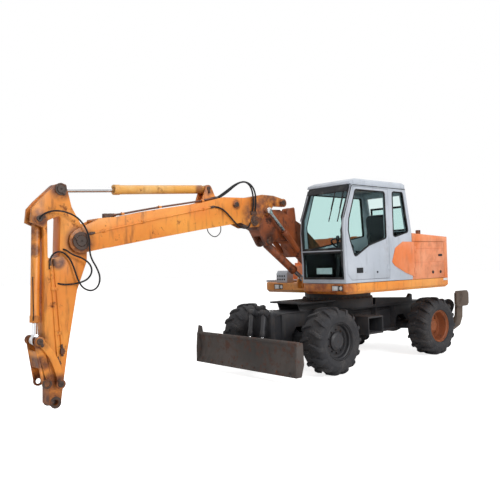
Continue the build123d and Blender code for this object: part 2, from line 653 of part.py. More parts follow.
def engine_bay():
    lid = [
        (-650, HOOD_BOTTOM), (-TAIL_R - 50, HOOD_BOTTOM), (-TAIL_R - 10, HOOD_TOP - 90),
        (TAIL_CORNER_X - 30, HOOD_TOP - 60), (-650, HOOD_TOP),
    ]
    with BuildPart() as hood:
        prism(side(SIDE_Y), lid, 2 * SIDE_Y)
        tail_prism(HOOD_BOTTOM - 10, HOOD_TOP - HOOD_BOTTOM + 20, -600, mode=Mode.INTERSECT)
        offset(amount=-25, openings=hood.faces().sort_by(Axis.Z)[0])
        # exhaust, with the hinges' barrels along the front edge
        disc(level(HOOD_TOP - 100), (TAIL_CORNER_X, 600), 44, 200)
        drum(level(HOOD_TOP - 20), (TAIL_CORNER_X, 600), 34, 125, mode=Mode.SUBTRACT)
        for y in (-700, -100, 700):
            drum(side(y + 60), (-650, HOOD_TOP), 10, 120)
    keep(hood, "engine_hood")
    with BuildPart() as engine:
        block((-1450, -780), (-700, 500), (PLAT_TOP + 2, 2060))
    keep(engine, "engine_block")
    with BuildPart() as panel:
        block((WEIGHT_FRONT + 8, -680), (-SIDE_Y, 30 - SIDE_Y), (PLAT_TOP + 2, HOOD_BOTTOM - 4))
        for index in range(LOUVRES):
            z = PLAT_TOP + 160 + 60 * index
            block((-1500, -900), (-SIDE_Y - 5, 35 - SIDE_Y), (z, z + 26), mode=Mode.SUBTRACT)
        block((-676, -646), (-SIDE_Y, SIDE_Y), (PLAT_TOP + 2, HOOD_BOTTOM - 4))
        # cheek that runs forward over the cab's lower rear corner
        block((-676, -646), (SIDE_Y - 20, SIDE_Y + 10), (PLAT_TOP + 60, HOOD_BOTTOM - 4))
        prism(side(SIDE_Y + 10), CHEEK, 9, corner=20)
    keep(panel, "side_panels")
    with BuildPart() as door:
        block((WEIGHT_FRONT + 8, -684), (SIDE_Y - 30, SIDE_Y), (PLAT_TOP + SHUT + 2, HOOD_BOTTOM - SHUT - 2))
        for z in (1560, 1950):
            drum(level(z), (-690, SIDE_Y + HINGE_R), HINGE_R, 90)
            block((-740, -690), (SIDE_Y - 2, SIDE_Y + HINGE_R), (z, z + 90))
    keep(door, "service_door")
    with BuildPart() as tank:
        block((-630, 100), (-SIDE_Y, -500), (PLAT_TOP + 2, 1740))
        block((-630, -180), (-SIDE_Y, -500), (1700, 2000))
        fillet(tank.edges().filter_by(Axis.Z).group_by(Axis.Y)[0], 50)
        disc(level(1735), (-40, -1060), 55, 60)
    keep(tank, "tanks")
    with BuildPart() as box:
        block((300, 700), (-1180, -500), (PLAT_TOP + 2, PLAT_TOP + 40))
        housing = [(740, PLAT_TOP + 2), (900, PLAT_TOP + 2), (900, 1600), (860, 1660), (740, 1660)]
        prism(side(-400), housing, 280)
    keep(box, "work_lamp_box")


# ---------------------------------------------------------------- cab
def cab():
    inside = (CAB_INNER_Y + CAB_WALL, SIDE_Y - CAB_WALL)
    rear_glazing = (CAB_INNER_Y + 110, SIDE_Y - 110)
    with BuildPart() as frame:
        prism(side(SIDE_Y), CAB_OUTLINE, SIDE_Y - CAB_INNER_Y)
        # room inside, open at the top under the roof
        with BuildSketch(side(SIDE_Y - CAB_WALL)) as room:
            with BuildLine():
                Polyline(*CAB_OUTLINE, close=True)
            make_face()
            offset(amount=-CAB_WALL)
        extrude(room.sketch, amount=SIDE_Y - CAB_INNER_Y - 2 * CAB_WALL, mode=Mode.SUBTRACT)
        block((CAB_REAR + 200, 900), inside, (ROOF_BOTTOM - 60, ROOF_BOTTOM + 5), mode=Mode.SUBTRACT)
        # door opening, with the gap round the door
        with BuildSketch(side(SIDE_Y + 5)) as opening:
            with BuildLine():
                Polyline(*DOOR_OUTLINE, close=True)
            make_face()
            offset(amount=SHUT)
        extrude(opening.sketch, amount=CAB_WALL + 10, mode=Mode.SUBTRACT)
        prism(side(SIDE_Y + 5), REAR_WINDOW, CAB_WALL + 10, corner=WINDOW_R, mode=Mode.SUBTRACT)
        prism(side(inside[0] + 5), INNER_WINDOW, CAB_WALL + 10, corner=WINDOW_R, mode=Mode.SUBTRACT)
        block((CAB_REAR - 20, -400), rear_glazing, (2330, ROOF_BOTTOM - 110), mode=Mode.SUBTRACT)
        for low, high in SCREENS:
            block((900, CAB_FRONT + 60), inside, (low, high), mode=Mode.SUBTRACT)
    keep(frame, "cab_frame")
    with BuildPart() as roof:
        shell = [
            (-480, ROOF_BOTTOM + 1), (1010, ROOF_BOTTOM + 1), (985, ROOF_TOP - 55), (850, ROOF_TOP),
            (-420, ROOF_TOP), (-475, ROOF_TOP - 40),
        ]
        prism(side(SIDE_Y - 5), shell, SIDE_Y - CAB_INNER_Y - 10)
        chamfer(roof.faces().sort_by(Axis.Z)[-1].edges().filter_by(Axis.X), 30)
    keep(roof, "cab_roof")
    with BuildPart() as door:
        prism(side(SIDE_Y), DOOR_OUTLINE, CAB_WALL)
        prism(side(SIDE_Y + 5), DOOR_WINDOW, CAB_WALL + 10, corner=WINDOW_R, mode=Mode.SUBTRACT)
        for z in (1640, 2380):
            drum(level(z), (DOOR_REAR - 20, SIDE_Y + HINGE_R), HINGE_R, 90)
            block((DOOR_REAR - 20, DOOR_REAR + 60), (SIDE_Y + 2, SIDE_Y + 12), (z, z + 90))
            block((DOOR_REAR + 5, DOOR_REAR + 60), (SIDE_Y - 2, SIDE_Y + 12), (z, z + 90))
    keep(door, "cab_door")
    with BuildPart() as pane:
        prism(side(SIDE_Y - GLASS_DEPTH), DOOR_WINDOW, GLASS_T, corner=WINDOW_R)
    keep(pane, "door_glass")
    with BuildPart() as glass:
        prism(side(SIDE_Y - GLASS_DEPTH), REAR_WINDOW, GLASS_T, corner=WINDOW_R)
        prism(side(CAB_INNER_Y + GLASS_DEPTH + GLASS_T), INNER_WINDOW, GLASS_T, corner=WINDOW_R)
        block((CAB_REAR + GLASS_DEPTH, CAB_REAR + GLASS_DEPTH + GLASS_T), rear_glazing, (2330, ROOF_BOTTOM - 300))
        for low, high in SCREENS:
            with BuildSketch(side(SIDE_Y - CAB_WALL)) as screen:
                with BuildLine():
                    Polyline(*CAB_OUTLINE, close=True)
                make_face()
                offset(amount=-GLASS_DEPTH)
                offset(screen.face(), amount=-GLASS_T, mode=Mode.SUBTRACT)
                with Locations((CAB_FRONT, (low + high) / 2)):
                    Rectangle(500, high - low, mode=Mode.INTERSECT)
            extrude(screen.sketch, amount=SIDE_Y - CAB_INNER_Y - 2 * CAB_WALL)
    keep(glass, "cab_glass")
    with BuildPart() as seat:
        block((-250, 300), (520, 1000), (PLAT_TOP + 55, 1760))
        block((-330, 300), (500, 1020), (1760, 1900))
        prism(side(1000), [(-330, 1900), (-200, 1900), (-300, 2620), (-400, 2620)], 480)
    keep(seat, "seat")
    with BuildPart() as console:
        for y in (1110, 420):
            block((-200, 480), (y - 40, y + 40), (PLAT_TOP + 55, 1980))
            disc(level(1975), (420, y), 22, 190)
        prism(side(800), [(760, PLAT_TOP + 55), (860, PLAT_TOP + 55), (760, 2060), (700, 2040)], 80)
    keep(console, "console")


# ---------------------------------------------------------------- boom
def booms():
    inner = [
        (560, 1540), (820, 1800), (1167, 2070), (1548, 2240), (1700, 2250), (1740, 2120), (1860, 2120),
        (1900, 2300), (2050, 2370), (2230, 2440), (2250, 2560), (2150, 2640), (1980, 2690), (1530, 2700),
        (1060, 2480), (640, 2150), (290, 1800), (270, 1560), (400, 1510),
    ]
    with BuildPart() as first:
        prism(side(BOOM_HALF), inner, 2 * BOOM_HALF)
        # lugs of the lift cylinder's eye below, with the slot between them
        lug_plate(side(BOOM_HALF), [(LIFT_EYE, 82), ((1640, 2300), 90), ((1960, 2380), 60)], 2 * BOOM_HALF)
        prism(side(78), [(1560, 2000), (1990, 2000), (1990, 2255), (1560, 2242)], 156, mode=Mode.SUBTRACT)
        # foot of the position cylinders
        foot = [(POSITION_BASE, 62), ((1090, 2160), 60), ((1270, 2200), 60)]
        lug_plate(side(BOOM_HALF), foot, 2 * BOOM_HALF)
        for sign in (1, -1):
            low, high = mirrored(sign, BOOM_HALF - 1, BOOM_HALF + 24)
            disc(side(high), POSITION_BASE, 60, high - low)
        # guard of the hoses on its back
        guard = [((1130, 2480), 40), ((1290, 2550), 40), ((1260, 2700), 40), ((1150, 2730), 30)]
        for y in (70, -56):
            lug_plate(side(y), guard, 14)
    keep(first, "boom_lower")
    body = [
        (2380, 2465), (3220, 2334), (4091, 2188), (4713, 2078), (4780, 2071), (4780, 2240), (4890, 2440),
        (4880, 2465), (4553, 2499), (4079, 2597), (3207, 2740), (2760, 2850), (2276, 2861), (1951, 2930),
        (1700, 2925), (1560, 2895), (1545, 2860), (1951, 2880), (2276, 2820), (2380, 2700),
    ]
    ear = [
        (2400, 2462), (2400, 2840), (2276, 2861), (1951, 2930), (1600, 2905), (1450, 2870), (1415, 2790),
        (1500, 2745), (1720, 2745), (1800, 2600), (1900, 2600), (2040, 2400), (2220, 2390),
    ]
    # pins and discs on the ears' faces: centre, radius, how far they stand out
    bosses = [(KNUCKLE, 80, 20), ((2499, 2745), 60, 14), ((1479, 2814), 70, 10), (ARM_PIVOT, 110, 16)]
    with BuildPart() as second:
        prism(side(OUTER_HALF), body, 2 * OUTER_HALF)
        for sign in (1, -1):
            low, high = mirrored(sign, OUTER_HALF - EAR_T, OUTER_HALF)
            prism(side(high), ear, EAR_T)
            lug_plate(side(high), [(ARM_PIVOT, 160), ((4700, 2180), 95), ((4840, 2400), 60)], EAR_T)
            for centre, radius, out in bosses:
                low, high = mirrored(sign, OUTER_HALF - 1, OUTER_HALF + out)
                disc(side(high), centre, radius, high - low)
            low, high = mirrored(sign, 68, 93)
            lug_plate(side(high), [(ARM_CYL_BASE, 60), ((2880, 2800), 40), ((3090, 2740), 40)], high - low)
    keep(second, "boom_outer")


def arm():
    outline = [
        (5290, 2890), (5357, 2912), (5420, 2890), (5648, 2675), (5739, 2572), (ARM_NOSE_X, 2400),
        (5600, 2330), (5595, 1900), (5611, 1428), (5611, 807), (5560, 600), (5570, 110), (5490, 60),
        (5425, 90), (5400, 250), (5318, 774), (5172, 1531), (5030, 1900), (5015, 2230), (5223, 2604),
    ]
    window = [(5551, 2420), (5372, 2500), (5398, 1961), (5555, 1938)]
    with BuildPart() as stick:
        prism(side(ARM_HALF), outline, 2 * ARM_HALF)
        prism(side(ARM_HALF + 5), window, 2 * ARM_HALF + 10, corner=30, mode=Mode.SUBTRACT)
        # slots between the head's cheeks for the eyes of both cylinders
        prism(side(48), [(5120, 2700), (5160, 3000), (5700, 3000), (5700, 2640), (5480, 2700)], 96,
              mode=Mode.SUBTRACT)
        prism(side(66), [(5565, 3000), (5800, 3000), (5800, 2200), (5565, 2200)], 132, mode=Mode.SUBTRACT)
        # discs over the pins
        for centre, radius in ((ARM_TOP, 80), (BUCKET_BASE, 62)):
            for sign in (1, -1):
                low, high = mirrored(sign, ARM_HALF - 1, ARM_HALF + 12)
                disc(side(high), centre, radius, high - low)
        drum(side(ARM_HALF + 5), ARM_TIP, TIP_BORE_R, 2 * ARM_HALF + 10, mode=Mode.SUBTRACT)
    keep(stick, "arm")


def bucket_links():
    """A bowed rocker bar on each side of the arm, and the link between them as an open box."""
    inner_y = ARM_HALF + GAP
    outer_y = inner_y + LINK_T + GAP
    reach = distance(ROCKER_PIN, BUCKET_EYE)
    # share of the bar's length and of its bow
    run = [(0, 0), (0.17, 0.56), (0.35, 0.9), (0.5, 1), (0.65, 0.9), (0.83, 0.56), (1, 0)]
    bar = [beside(ROCKER_PIN, BUCKET_EYE, share * reach, 45 + rise * ROCKER_BOW) for share, rise in run]
    bar += [beside(ROCKER_PIN, BUCKET_EYE, share * reach, rise * ROCKER_BOW - 45) for share, rise in run[::-1]]
    with BuildPart() as rocker:
        for sign in (1, -1):
            low, high = mirrored(sign, outer_y, outer_y + LINK_T)
            prism(side(high), bar, LINK_T)
            lug_plate(side(high), [(ROCKER_PIN, 62)], LINK_T)
            lug_plate(side(high), [(BUCKET_EYE, 62)], LINK_T)
    keep(rocker, "rocker")
    length = distance(BUCKET_EYE, LINK_END)
    with BuildPart() as link:
        for sign in (1, -1):
            low, high = mirrored(sign, inner_y, inner_y + LINK_T)
            lug_plate(side(high), [(BUCKET_EYE, 55), (LINK_END, 62)], LINK_T)
        front = [beside(BUCKET_EYE, LINK_END, share * length, out)
                 for share, out in ((0.22, 30), (0.22, 50), (0.62, 52), (0.62, 32))]
        prism(side(inner_y + 2), front, 2 * inner_y + 4)
        drum(side(outer_y), LINK_END, TIP_BORE_R, 2 * outer_y, mode=Mode.SUBTRACT)
    keep(link, "bucket_link")


chassis()
steps()
axle_housing("front_axle", FRONT_AXLE_X, KINGPIN_Y - 120, True)
axle_housing("rear_axle", REAR_AXLE_X, 700.0, False)
knuckles()
steering_rod()
wheels()
blade()
stabilisers()
platform()
lamps()
counterweight()
engine_bay()
cab()
booms()
arm()
bucket_links()
for ram_name in RAMS:
    ram(ram_name)
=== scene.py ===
import json
import math

import bmesh
import bpy
from mathutils import Matrix, Vector


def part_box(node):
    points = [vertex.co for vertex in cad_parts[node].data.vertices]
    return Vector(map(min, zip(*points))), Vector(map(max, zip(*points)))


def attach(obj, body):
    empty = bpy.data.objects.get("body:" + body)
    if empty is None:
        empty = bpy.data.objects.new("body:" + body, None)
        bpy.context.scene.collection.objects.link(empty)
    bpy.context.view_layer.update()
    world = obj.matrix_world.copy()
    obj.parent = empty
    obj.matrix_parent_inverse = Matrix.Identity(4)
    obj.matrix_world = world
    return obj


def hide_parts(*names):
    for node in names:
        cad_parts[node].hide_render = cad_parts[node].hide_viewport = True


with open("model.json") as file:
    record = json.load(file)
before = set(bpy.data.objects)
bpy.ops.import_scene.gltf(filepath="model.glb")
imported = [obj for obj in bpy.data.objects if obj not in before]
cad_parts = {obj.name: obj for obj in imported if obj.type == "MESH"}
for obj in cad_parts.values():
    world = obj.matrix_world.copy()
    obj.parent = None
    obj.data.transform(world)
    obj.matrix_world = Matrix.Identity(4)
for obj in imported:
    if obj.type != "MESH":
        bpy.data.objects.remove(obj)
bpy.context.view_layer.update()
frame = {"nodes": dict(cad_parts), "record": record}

bl_info = {
    "name": "Wheeled Excavator",
    "version": (1, 0, 0),
    "blender": (4, 5, 0),
    "location": "3D View > Sidebar > Excavator",
    "description": "Dresses the packed wheeled excavator with its finishes, fittings and studio",
    "category": "Object",
}

# ---------- places taken from the frame
RECORD = frame["record"]
PIN = {joint["name"]: Vector(joint["pos_m"]) for joint in RECORD["behaviour"]["joints"] if "pos_m" in joint}
SLEW_X = PIN["slew"].x                      # every place below is reckoned from the slew centre


def at(x, y, z):
    """A place in millimetres from the slew centre, as a vector in metres in the frame."""
    return Vector((SLEW_X + x / 1000, y / 1000, z / 1000))


# ---------- sizes and colours a user would change
class MachineLooks(bpy.types.PropertyGroup):
    """Colours and wear of the machine."""

    boom_colour: bpy.props.StringProperty(
        name="Boom", description="Paint of the boom and arm, as sRGB hex", default="#E0822A")
    body_colour: bpy.props.StringProperty(
        name="Body", description="Paint of the hood and panels, as sRGB hex", default="#E2793C")
    cab_colour: bpy.props.StringProperty(
        name="Cab", description="Paint of the cab, as sRGB hex", default="#AEB5BF")
    # the undercarriage's black is partly painted shade: it is darkened to stand for the shade under the upper
    # structure
    chassis_colour: bpy.props.StringProperty(
        name="Chassis", description="Paint of the undercarriage, as sRGB hex", default="#202125")
    wear: bpy.props.FloatProperty(
        name="Wear", description="How far rust and chips have spread", default=1.0, min=0.0, max=2.0,
        subtype="FACTOR")


class StudioLight(bpy.types.PropertyGroup):
    """Light and floor of the stage."""

    world_strength: bpy.props.FloatProperty(
        name="World", description="Strength of the even light from all round", default=0.36, min=0.0)
    key_power: bpy.props.FloatProperty(
        name="Key", description="Power of the large lamp beside the camera", default=1020.0, min=0.0,
        subtype="POWER")
    floor_size: bpy.props.FloatProperty(
        name="Floor", description="Width of the floor", default=120.0, min=1.0, unit="LENGTH")


# ---------- materials
def linear(hex_colour):
    """sRGB hex to the linear values that shaders take."""
    channels = [int(hex_colour[i:i + 2], 16) / 255 for i in (1, 3, 5)]
    turned = [c / 12.92 if c <= 0.04045 else ((c + 0.055) / 1.055) ** 2.4 for c in channels]
    return (*turned, 1.0)


def fill(tree, node, inputs):
    """Set a node's inputs, or link those that come from another node."""
    for key, value in inputs.items():
        if isinstance(value, bpy.types.NodeSocket):
            tree.links.new(value, node.inputs[key])
        else:
            node.inputs[key].default_value = value


def add(tree, kind, inputs=(), **settings):
    """Add a node with its settings, values and links."""
    made = tree.nodes.new(kind)
    for key, value in settings.items():
        setattr(made, key, value)
    fill(tree, made, dict(inputs))
    return made


FACTOR, COLOUR_A, COLOUR_B, MIXED = 0, 6, 7, 2      # sockets of the Mix node in colour mode


def new_material(name):
    """A node material with its shader, its tree and its object coordinates."""
    material = bpy.data.materials.new(name)
    material.use_nodes = True
    tree = material.node_tree
    shader = tree.nodes["Principled BSDF"]
    coords = add(tree, "ShaderNodeTexCoord").outputs["Object"]
    return material, tree, shader, coords


def spots(tree, coords, size_mm, low, high, detail=6.0, stretch=(1.0, 1.0, 1.0), roughness=0.6):
    """Soft-edged patches of about a real size: 0 below low and 1 above high."""
    placed = add(tree, "ShaderNodeMapping", {"Vector": coords, "Scale": stretch}).outputs[0]
    noise = add(tree, "ShaderNodeTexNoise", {
        "Vector": placed, "Scale": 1000.0 / size_mm, "Detail": detail, "Roughness": roughness}).outputs[0]
    ramp = add(tree, "ShaderNodeMapRange", {
        "Value": noise, "From Min": low, "From Max": high}, interpolation_type="SMOOTHSTEP")
    return ramp.outputs[0]


def stained_and_shaded(tree, coords, dirt_and_shade, places):
    """Raise the share of the dark dirt colour round given places, each (x, z, reach) in millimetres from the
    slew centre: grease round joints, and painted shade where a part lies in another's shadow.
    """
    side = add(tree, "ShaderNodeVectorMath", {0: coords, 1: (1, 0, 1)}, operation="MULTIPLY").outputs[0]
    ragged = spots(tree, coords, 150, 0.16, 0.66, detail=8.0, roughness=0.66)
    for x, z, reach in places:
        away = add(tree, "ShaderNodeVectorMath", {0: side, 1: at(x, 0, z)}, operation="DISTANCE")
        near = add(tree, "ShaderNodeMapRange", {
            "Value": away.outputs["Value"], "From Min": reach / 1000, "From Max": reach / 2200},
            interpolation_type="SMOOTHSTEP").outputs[0]
        stain_and_shade = add(tree, "ShaderNodeMath", {0: near, 1: ragged}, operation="MULTIPLY").outputs[0]
        dirt_and_shade = add(tree, "ShaderNodeMath", {0: dirt_and_shade, 1: stain_and_shade}, operation="MAXIMUM").outputs[0]
    return dirt_and_shade


def worn_paint(name, base, faded, bare, spread, gloss=0.42, dirt="#5A4A3C", dirt_share=0.35, chips=0.5,
               stains_and_shade=()):
    """Enamel sprayed on steel, weathered: bleached patches, rust through chips and edges, dirt in streaks,
    and dark patches round given places that are partly grease and partly painted shade.
    """
    material, tree, shader, coords = new_material(name)
    bleached = spots(tree, coords, 900, 0.38, 0.68, detail=4.0)
    mottled = spots(tree, coords, 130, 0.40, 0.75)
    streaks = spots(tree, coords, 260, 0.50, 0.74, stretch=(3.0, 3.0, 0.55))
    rust = spots(tree, coords, 170, 0.70 - 0.13 * spread, 0.80 - 0.10 * spread, detail=10.0, roughness=0.72)
    edges = add(tree, "ShaderNodeNewGeometry").outputs["Pointiness"]
    chipped = add(tree, "ShaderNodeMapRange", {
        "Value": edges, "From Min": 0.52, "From Max": 0.60}, interpolation_type="SMOOTHSTEP").outputs[0]
    for share in (mottled, chips):
        chipped = add(tree, "ShaderNodeMath", {0: chipped, 1: share}, operation="MULTIPLY").outputs[0]
    bare_share = add(tree, "ShaderNodeMath", {0: rust, 1: chipped}, operation="MAXIMUM").outputs[0]
    dirt_and_shade = add(tree, "ShaderNodeMath", {0: streaks, 1: dirt_share}, operation="MULTIPLY").outputs[0]
    # dark patches round the given places: grease round joints, and painted shade where the places lie in
    # shadow
    if stains_and_shade:
        dirt_and_shade = stained_and_shaded(tree, coords, dirt_and_shade, stains_and_shade)
    shown = linear(base)
    for share, colour in ((bleached, faded), (dirt_and_shade, dirt), (bare_share, bare)):
        shown = add(tree, "ShaderNodeMix", {
            FACTOR: share, COLOUR_A: shown, COLOUR_B: linear(colour)}, data_type="RGBA").outputs[MIXED]
    rough = add(tree, "ShaderNodeMapRange", {"Value": bare_share, "To Min": gloss, "To Max": 0.85}).outputs[0]
    grain = add(tree, "ShaderNodeTexNoise", {"Vector": coords, "Scale": 260.0, "Detail": 3.0}).outputs[0]
    height = add(tree, "ShaderNodeMath", {
        0: bare_share, 1: -0.6, 2: grain}, operation="MULTIPLY_ADD").outputs[0]
    bump = add(tree, "ShaderNodeBump", {"Height": height, "Strength": 0.25, "Distance": 0.002}).outputs[0]
    fill(tree, shader, {"Base Color": shown, "Roughness": rough, "Normal": bump, "IOR": 1.5})
    return material


def tyre_rubber(name):
    """Vulcanised natural rubber, matt, greyed by dust in patches."""
    material, tree, shader, coords = new_material(name)
    dust = spots(tree, coords, 220, 0.38, 0.72, detail=8.0)
    fine = spots(tree, coords, 14, 0.35, 0.75)
    share = add(tree, "ShaderNodeMath", {0: dust, 1: fine}, operation="MULTIPLY").outputs[0]
    colour = add(tree, "ShaderNodeMix", {
        FACTOR: share, COLOUR_A: linear("#26262A"), COLOUR_B: linear("#534F4C")},
        data_type="RGBA").outputs[MIXED]
    grain = add(tree, "ShaderNodeTexNoise", {"Vector": coords, "Scale": 180.0, "Detail": 5.0}).outputs[0]
    bump = add(tree, "ShaderNodeBump", {"Height": grain, "Strength": 0.35, "Distance": 0.003}).outputs[0]
    fill(tree, shader, {"Base Color": colour, "Normal": bump, "Roughness": 0.82})
    return material


def chromed_rod(name):
    """Hard chrome on a ground piston rod: a bright mirror under a patchy film of oil."""
    material, tree, shader, coords = new_material(name)
    film = spots(tree, coords, 60, 0.35, 0.75)
    rough = add(tree, "ShaderNodeMapRange", {"Value": film, "To Min": 0.10, "To Max": 0.26}).outputs[0]
    fill(tree, shader, {"Base Color": linear("#D9DADC"), "Roughness": rough, "Metallic": 1.0})
    return material


def safety_glass(name, tint):
    """Tempered safety glass with a green tint: clear, with a film of dust that dulls its mirror."""
    material, tree, shader, coords = new_material(name)
    film = spots(tree, coords, 320, 0.35, 0.8)
    rough = add(tree, "ShaderNodeMapRange", {"Value": film, "To Min": 0.02, "To Max": 0.12}).outputs[0]
    fill(tree, shader, {
        "Base Color": linear(tint), "Roughness": rough, "Transmission Weight": 1.0, "IOR": 1.05})
    return material


def cast_iron(name):
    """Sand-cast grey iron under soot and oil: coarse grain, dull."""
    return worn_paint(name, "#2E2E30", "#3A3A3C", "#4A3A30", 0.8, gloss=0.7, dirt="#1C1B1A")


def seat_cloth(name):
    """Woven polyester on foam: a dark melange with a weave of about 3 mm, drawn at 8 mm so that it shows."""
    material, tree, shader, coords = new_material(name)
    weave = add(tree, "ShaderNodeTexChecker", {
        "Vector": coords, "Color1": linear("#2A2B30"), "Color2": linear("#3A3B42"), "Scale": 125.0})
    bump = add(tree, "ShaderNodeBump", {
        "Height": weave.outputs[1], "Strength": 0.3, "Distance": 0.002}).outputs[0]
    fill(tree, shader, {
        "Base Color": weave.outputs[0], "Normal": bump, "Roughness": 0.95, "Sheen Weight": 0.3})
    return material


def moulded_plastic(name, base, roughness=0.55):
    """Injection-moulded plastic with a fine leather grain of about 1 mm, drawn at 3 mm."""
    material, tree, shader, coords = new_material(name)
    dusty = spots(tree, coords, 160, 0.52, 0.95)
    colour = add(tree, "ShaderNodeMix", {
        FACTOR: dusty, COLOUR_A: linear(base), COLOUR_B: linear("#6B6862")}, data_type="RGBA").outputs[MIXED]
    cells = add(tree, "ShaderNodeTexVoronoi", {"Vector": coords, "Scale": 330.0}).outputs[0]
    bump = add(tree, "ShaderNodeBump", {"Height": cells, "Strength": 0.15, "Distance": 0.001}).outputs[0]
    fill(tree, shader, {
        "Base Color": colour, "Normal": bump, "Roughness": roughness, "Specular IOR Level": 0.25})
    return material


def lamp_lens(name):
    """Ribbed polycarbonate over a silvered reflector, hazed by dust, with flutes about 16 mm apart."""
    material, tree, shader, coords = new_material(name)
    haze = spots(tree, coords, 40, 0.35, 0.8)
    colour = add(tree, "ShaderNodeMix", {
        FACTOR: haze, COLOUR_A: linear("#E4E8EC"), COLOUR_B: linear("#C4C0B4")},
        data_type="RGBA").outputs[MIXED]
    flutes = add(tree, "ShaderNodeTexWave", {
        "Vector": coords, "Scale": 20.0}, bands_direction="Y").outputs[1]
    bump = add(tree, "ShaderNodeBump", {"Height": flutes, "Strength": 0.5, "Distance": 0.002}).outputs[0]
    fill(tree, shader, {"Base Color": colour, "Normal": bump, "Roughness": 0.12, "Coat Weight": 0.6})
    return material


BOOM_STAINS_AND_SHADE = [
    # x, z and reach of each dark patch, in millimetres: grease and rust round a joint, and painted shade: the
    # first four are the cab's painted shadow on the knuckle, and those on the arm, round its lower end most
    # of all, are partly painted shade
    (2060, 2560, 420), (1780, 2690, 520), (1520, 2740, 520), (1980, 2700, 380), (2499, 2745, 110),
    (2988, 2975, 150), (5126, 2164, 250), (5366, 2829, 190), (5650, 2445, 160), (5700, 2260, 130),
    (5710, 2060, 120), (5470, 110, 300), (5570, 380, 190), (5441, 362, 170), (5700, 921, 170),
    (5660, 650, 130), (5420, 1900, 130),
]
TUBE_STAINS = [(5290, 2829, 260), (2988, 2975, 160), (3120, 2960, 120)]
# dark patches on the lower boom: oil round its joints, and the cab's painted shadow on it
FOOT_STAINS_AND_SHADE = [(900, 1510, 330), (400, 1650, 420), (1800, 2165, 260), (2140, 2500, 300), (1479, 2814, 260)]


PAINTS = {
    # slot: material, colour or the user's setting that holds it, faded, bare, share of the wear, the rest
    "rim_black": ("enamel_black_rim", "#18181B", "#26262A", "#3E2F26", 0.8, {
        "gloss": 0.5, "dirt": "#46413D"}),
    "rim_orange": ("enamel_orange_rim", "#7E4222", "#97552E", "#3A231A", 1.1, {
        "gloss": 0.6, "dirt": "#4A3024", "dirt_share": 0.8}),
    # black paint, darkened further as painted shade under the upper structure
    "chassis_black": ("enamel_black_chassis_painted_shade", "chassis_colour", "#2E2F33", "#3E342E", 0.9, {
        "gloss": 0.55, "dirt": "#46413D", "dirt_share": 0.5}),
    "blade_rust": ("enamel_dark_over_rusty_steel", "#37322F", "#504844", "#4E342A", 1.5, {
        "gloss": 0.7, "dirt": "#2A2625", "dirt_share": 0.6}),
    "stabiliser_grey": ("enamel_brown_grey_dirty", "#54463C", "#6E5E50", "#42332A", 1.2, {
        "gloss": 0.6, "dirt": "#332D29", "dirt_share": 0.5}),
    # boom and arm: the dark patches round the knuckle and on the arm are painted shade as well as grease
    "boom_orange": ("enamel_orange_boom_painted_shade", "boom_colour", "#EC9A3C", "#6E3518", 1.0, {
        "dirt": "#5A2C18", "dirt_share": 0.55, "chips": 0.9, "stains_and_shade": BOOM_STAINS_AND_SHADE}),
    # lower boom and lift cylinder: the dark brown base and the high share of dark streaks are partly oily
    # rust and partly the cab's painted shadow
    "boom_brown": ("enamel_orange_oily_painted_shade", "#82401C", "#A05428", "#3C1D0F", 1.5, {
        "gloss": 0.5, "dirt": "#371C10", "dirt_share": 0.8, "stains_and_shade": FOOT_STAINS_AND_SHADE}),
    "cylinder_yellow": ("enamel_yellow_faded", "#E2A24A", "#ECC888", "#7A4420", 0.9, {
        "dirt": "#8A5426", "dirt_share": 0.5, "stains_and_shade": TUBE_STAINS}),
    "body_orange": ("enamel_orange_sun_faded", "body_colour", "#EA9A70", "#7A3B20", 0.55, {
        "gloss": 0.38, "dirt": "#A05A38", "dirt_share": 0.4, "chips": 0.3}),
    "cab_grey": ("enamel_pale_grey", "cab_colour", "#BEC4CD", "#75604F", 0.35, {
        "gloss": 0.35, "dirt": "#7C828B", "dirt_share": 0.35, "chips": 0.2}),
    "pin_steel": ("steel_pin_greased", "#33261F", "#4A3428", "#6A3F26", 1.6, {
        "gloss": 0.5, "dirt": "#1A1412", "dirt_share": 0.8}),
    "pipe_steel": ("steel_pipe_rusty_brown", "#5A3220", "#74452A", "#40241A", 1.2, {
        "gloss": 0.5, "dirt": "#2A1C16", "dirt_share": 0.7}),
    # deck and skirt: the dark patch at the deck's front, by the lamps, is partly rust and partly painted
    # shade on the front faces
    "skirt_orange": ("enamel_orange_skirt_painted_shade", "#E68A2C", "#EFA24A", "#6A3218", 0.9, {
        "gloss": 0.38, "dirt": "#8A4622", "dirt_share": 0.5, "stains_and_shade": [(1230, 1400, 360)]}),
}


def finishes(looks):
    """Every material by the record's slot names, and those of the added fittings."""
    made = {slot: worn_paint(name, getattr(looks, colour, colour), faded, bare, share * looks.wear, **rest)
            for slot, (name, colour, faded, bare, share, rest) in PAINTS.items()}
    return {
        **made,
        "tyre": tyre_rubber("vulcanised_rubber_dusty"),
        "rod_chrome": chromed_rod("hard_chrome_rod"),
        "cab_glazing": safety_glass("tempered_glass_green", "#DCEFED"),
        "seat_fabric": seat_cloth("woven_polyester_dark"),
        "console_plastic": moulded_plastic("abs_dark_grey", "#2A2B2E"),
        "engine_iron": cast_iron("cast_iron_sooty"),
        "lamp_lens": lamp_lens("polycarbonate_lens_hazed"),
        "rubber": moulded_plastic("extruded_rubber_black", "#1B1B1D", 0.7),
        "plastic_black": moulded_plastic("abs_black_grained", "#1F2023", 0.5),
        # near-black lining: partly real trim, partly painted shade inside the cab
        "lining": moulded_plastic("felt_backed_lining_painted_shade", "#1C1D20", 0.8),
        "plate": worn_paint("aluminium_plate_blank", "#C9CCD2", "#DADCE0", "#8C8F94", 0.3, gloss=0.4),
    }


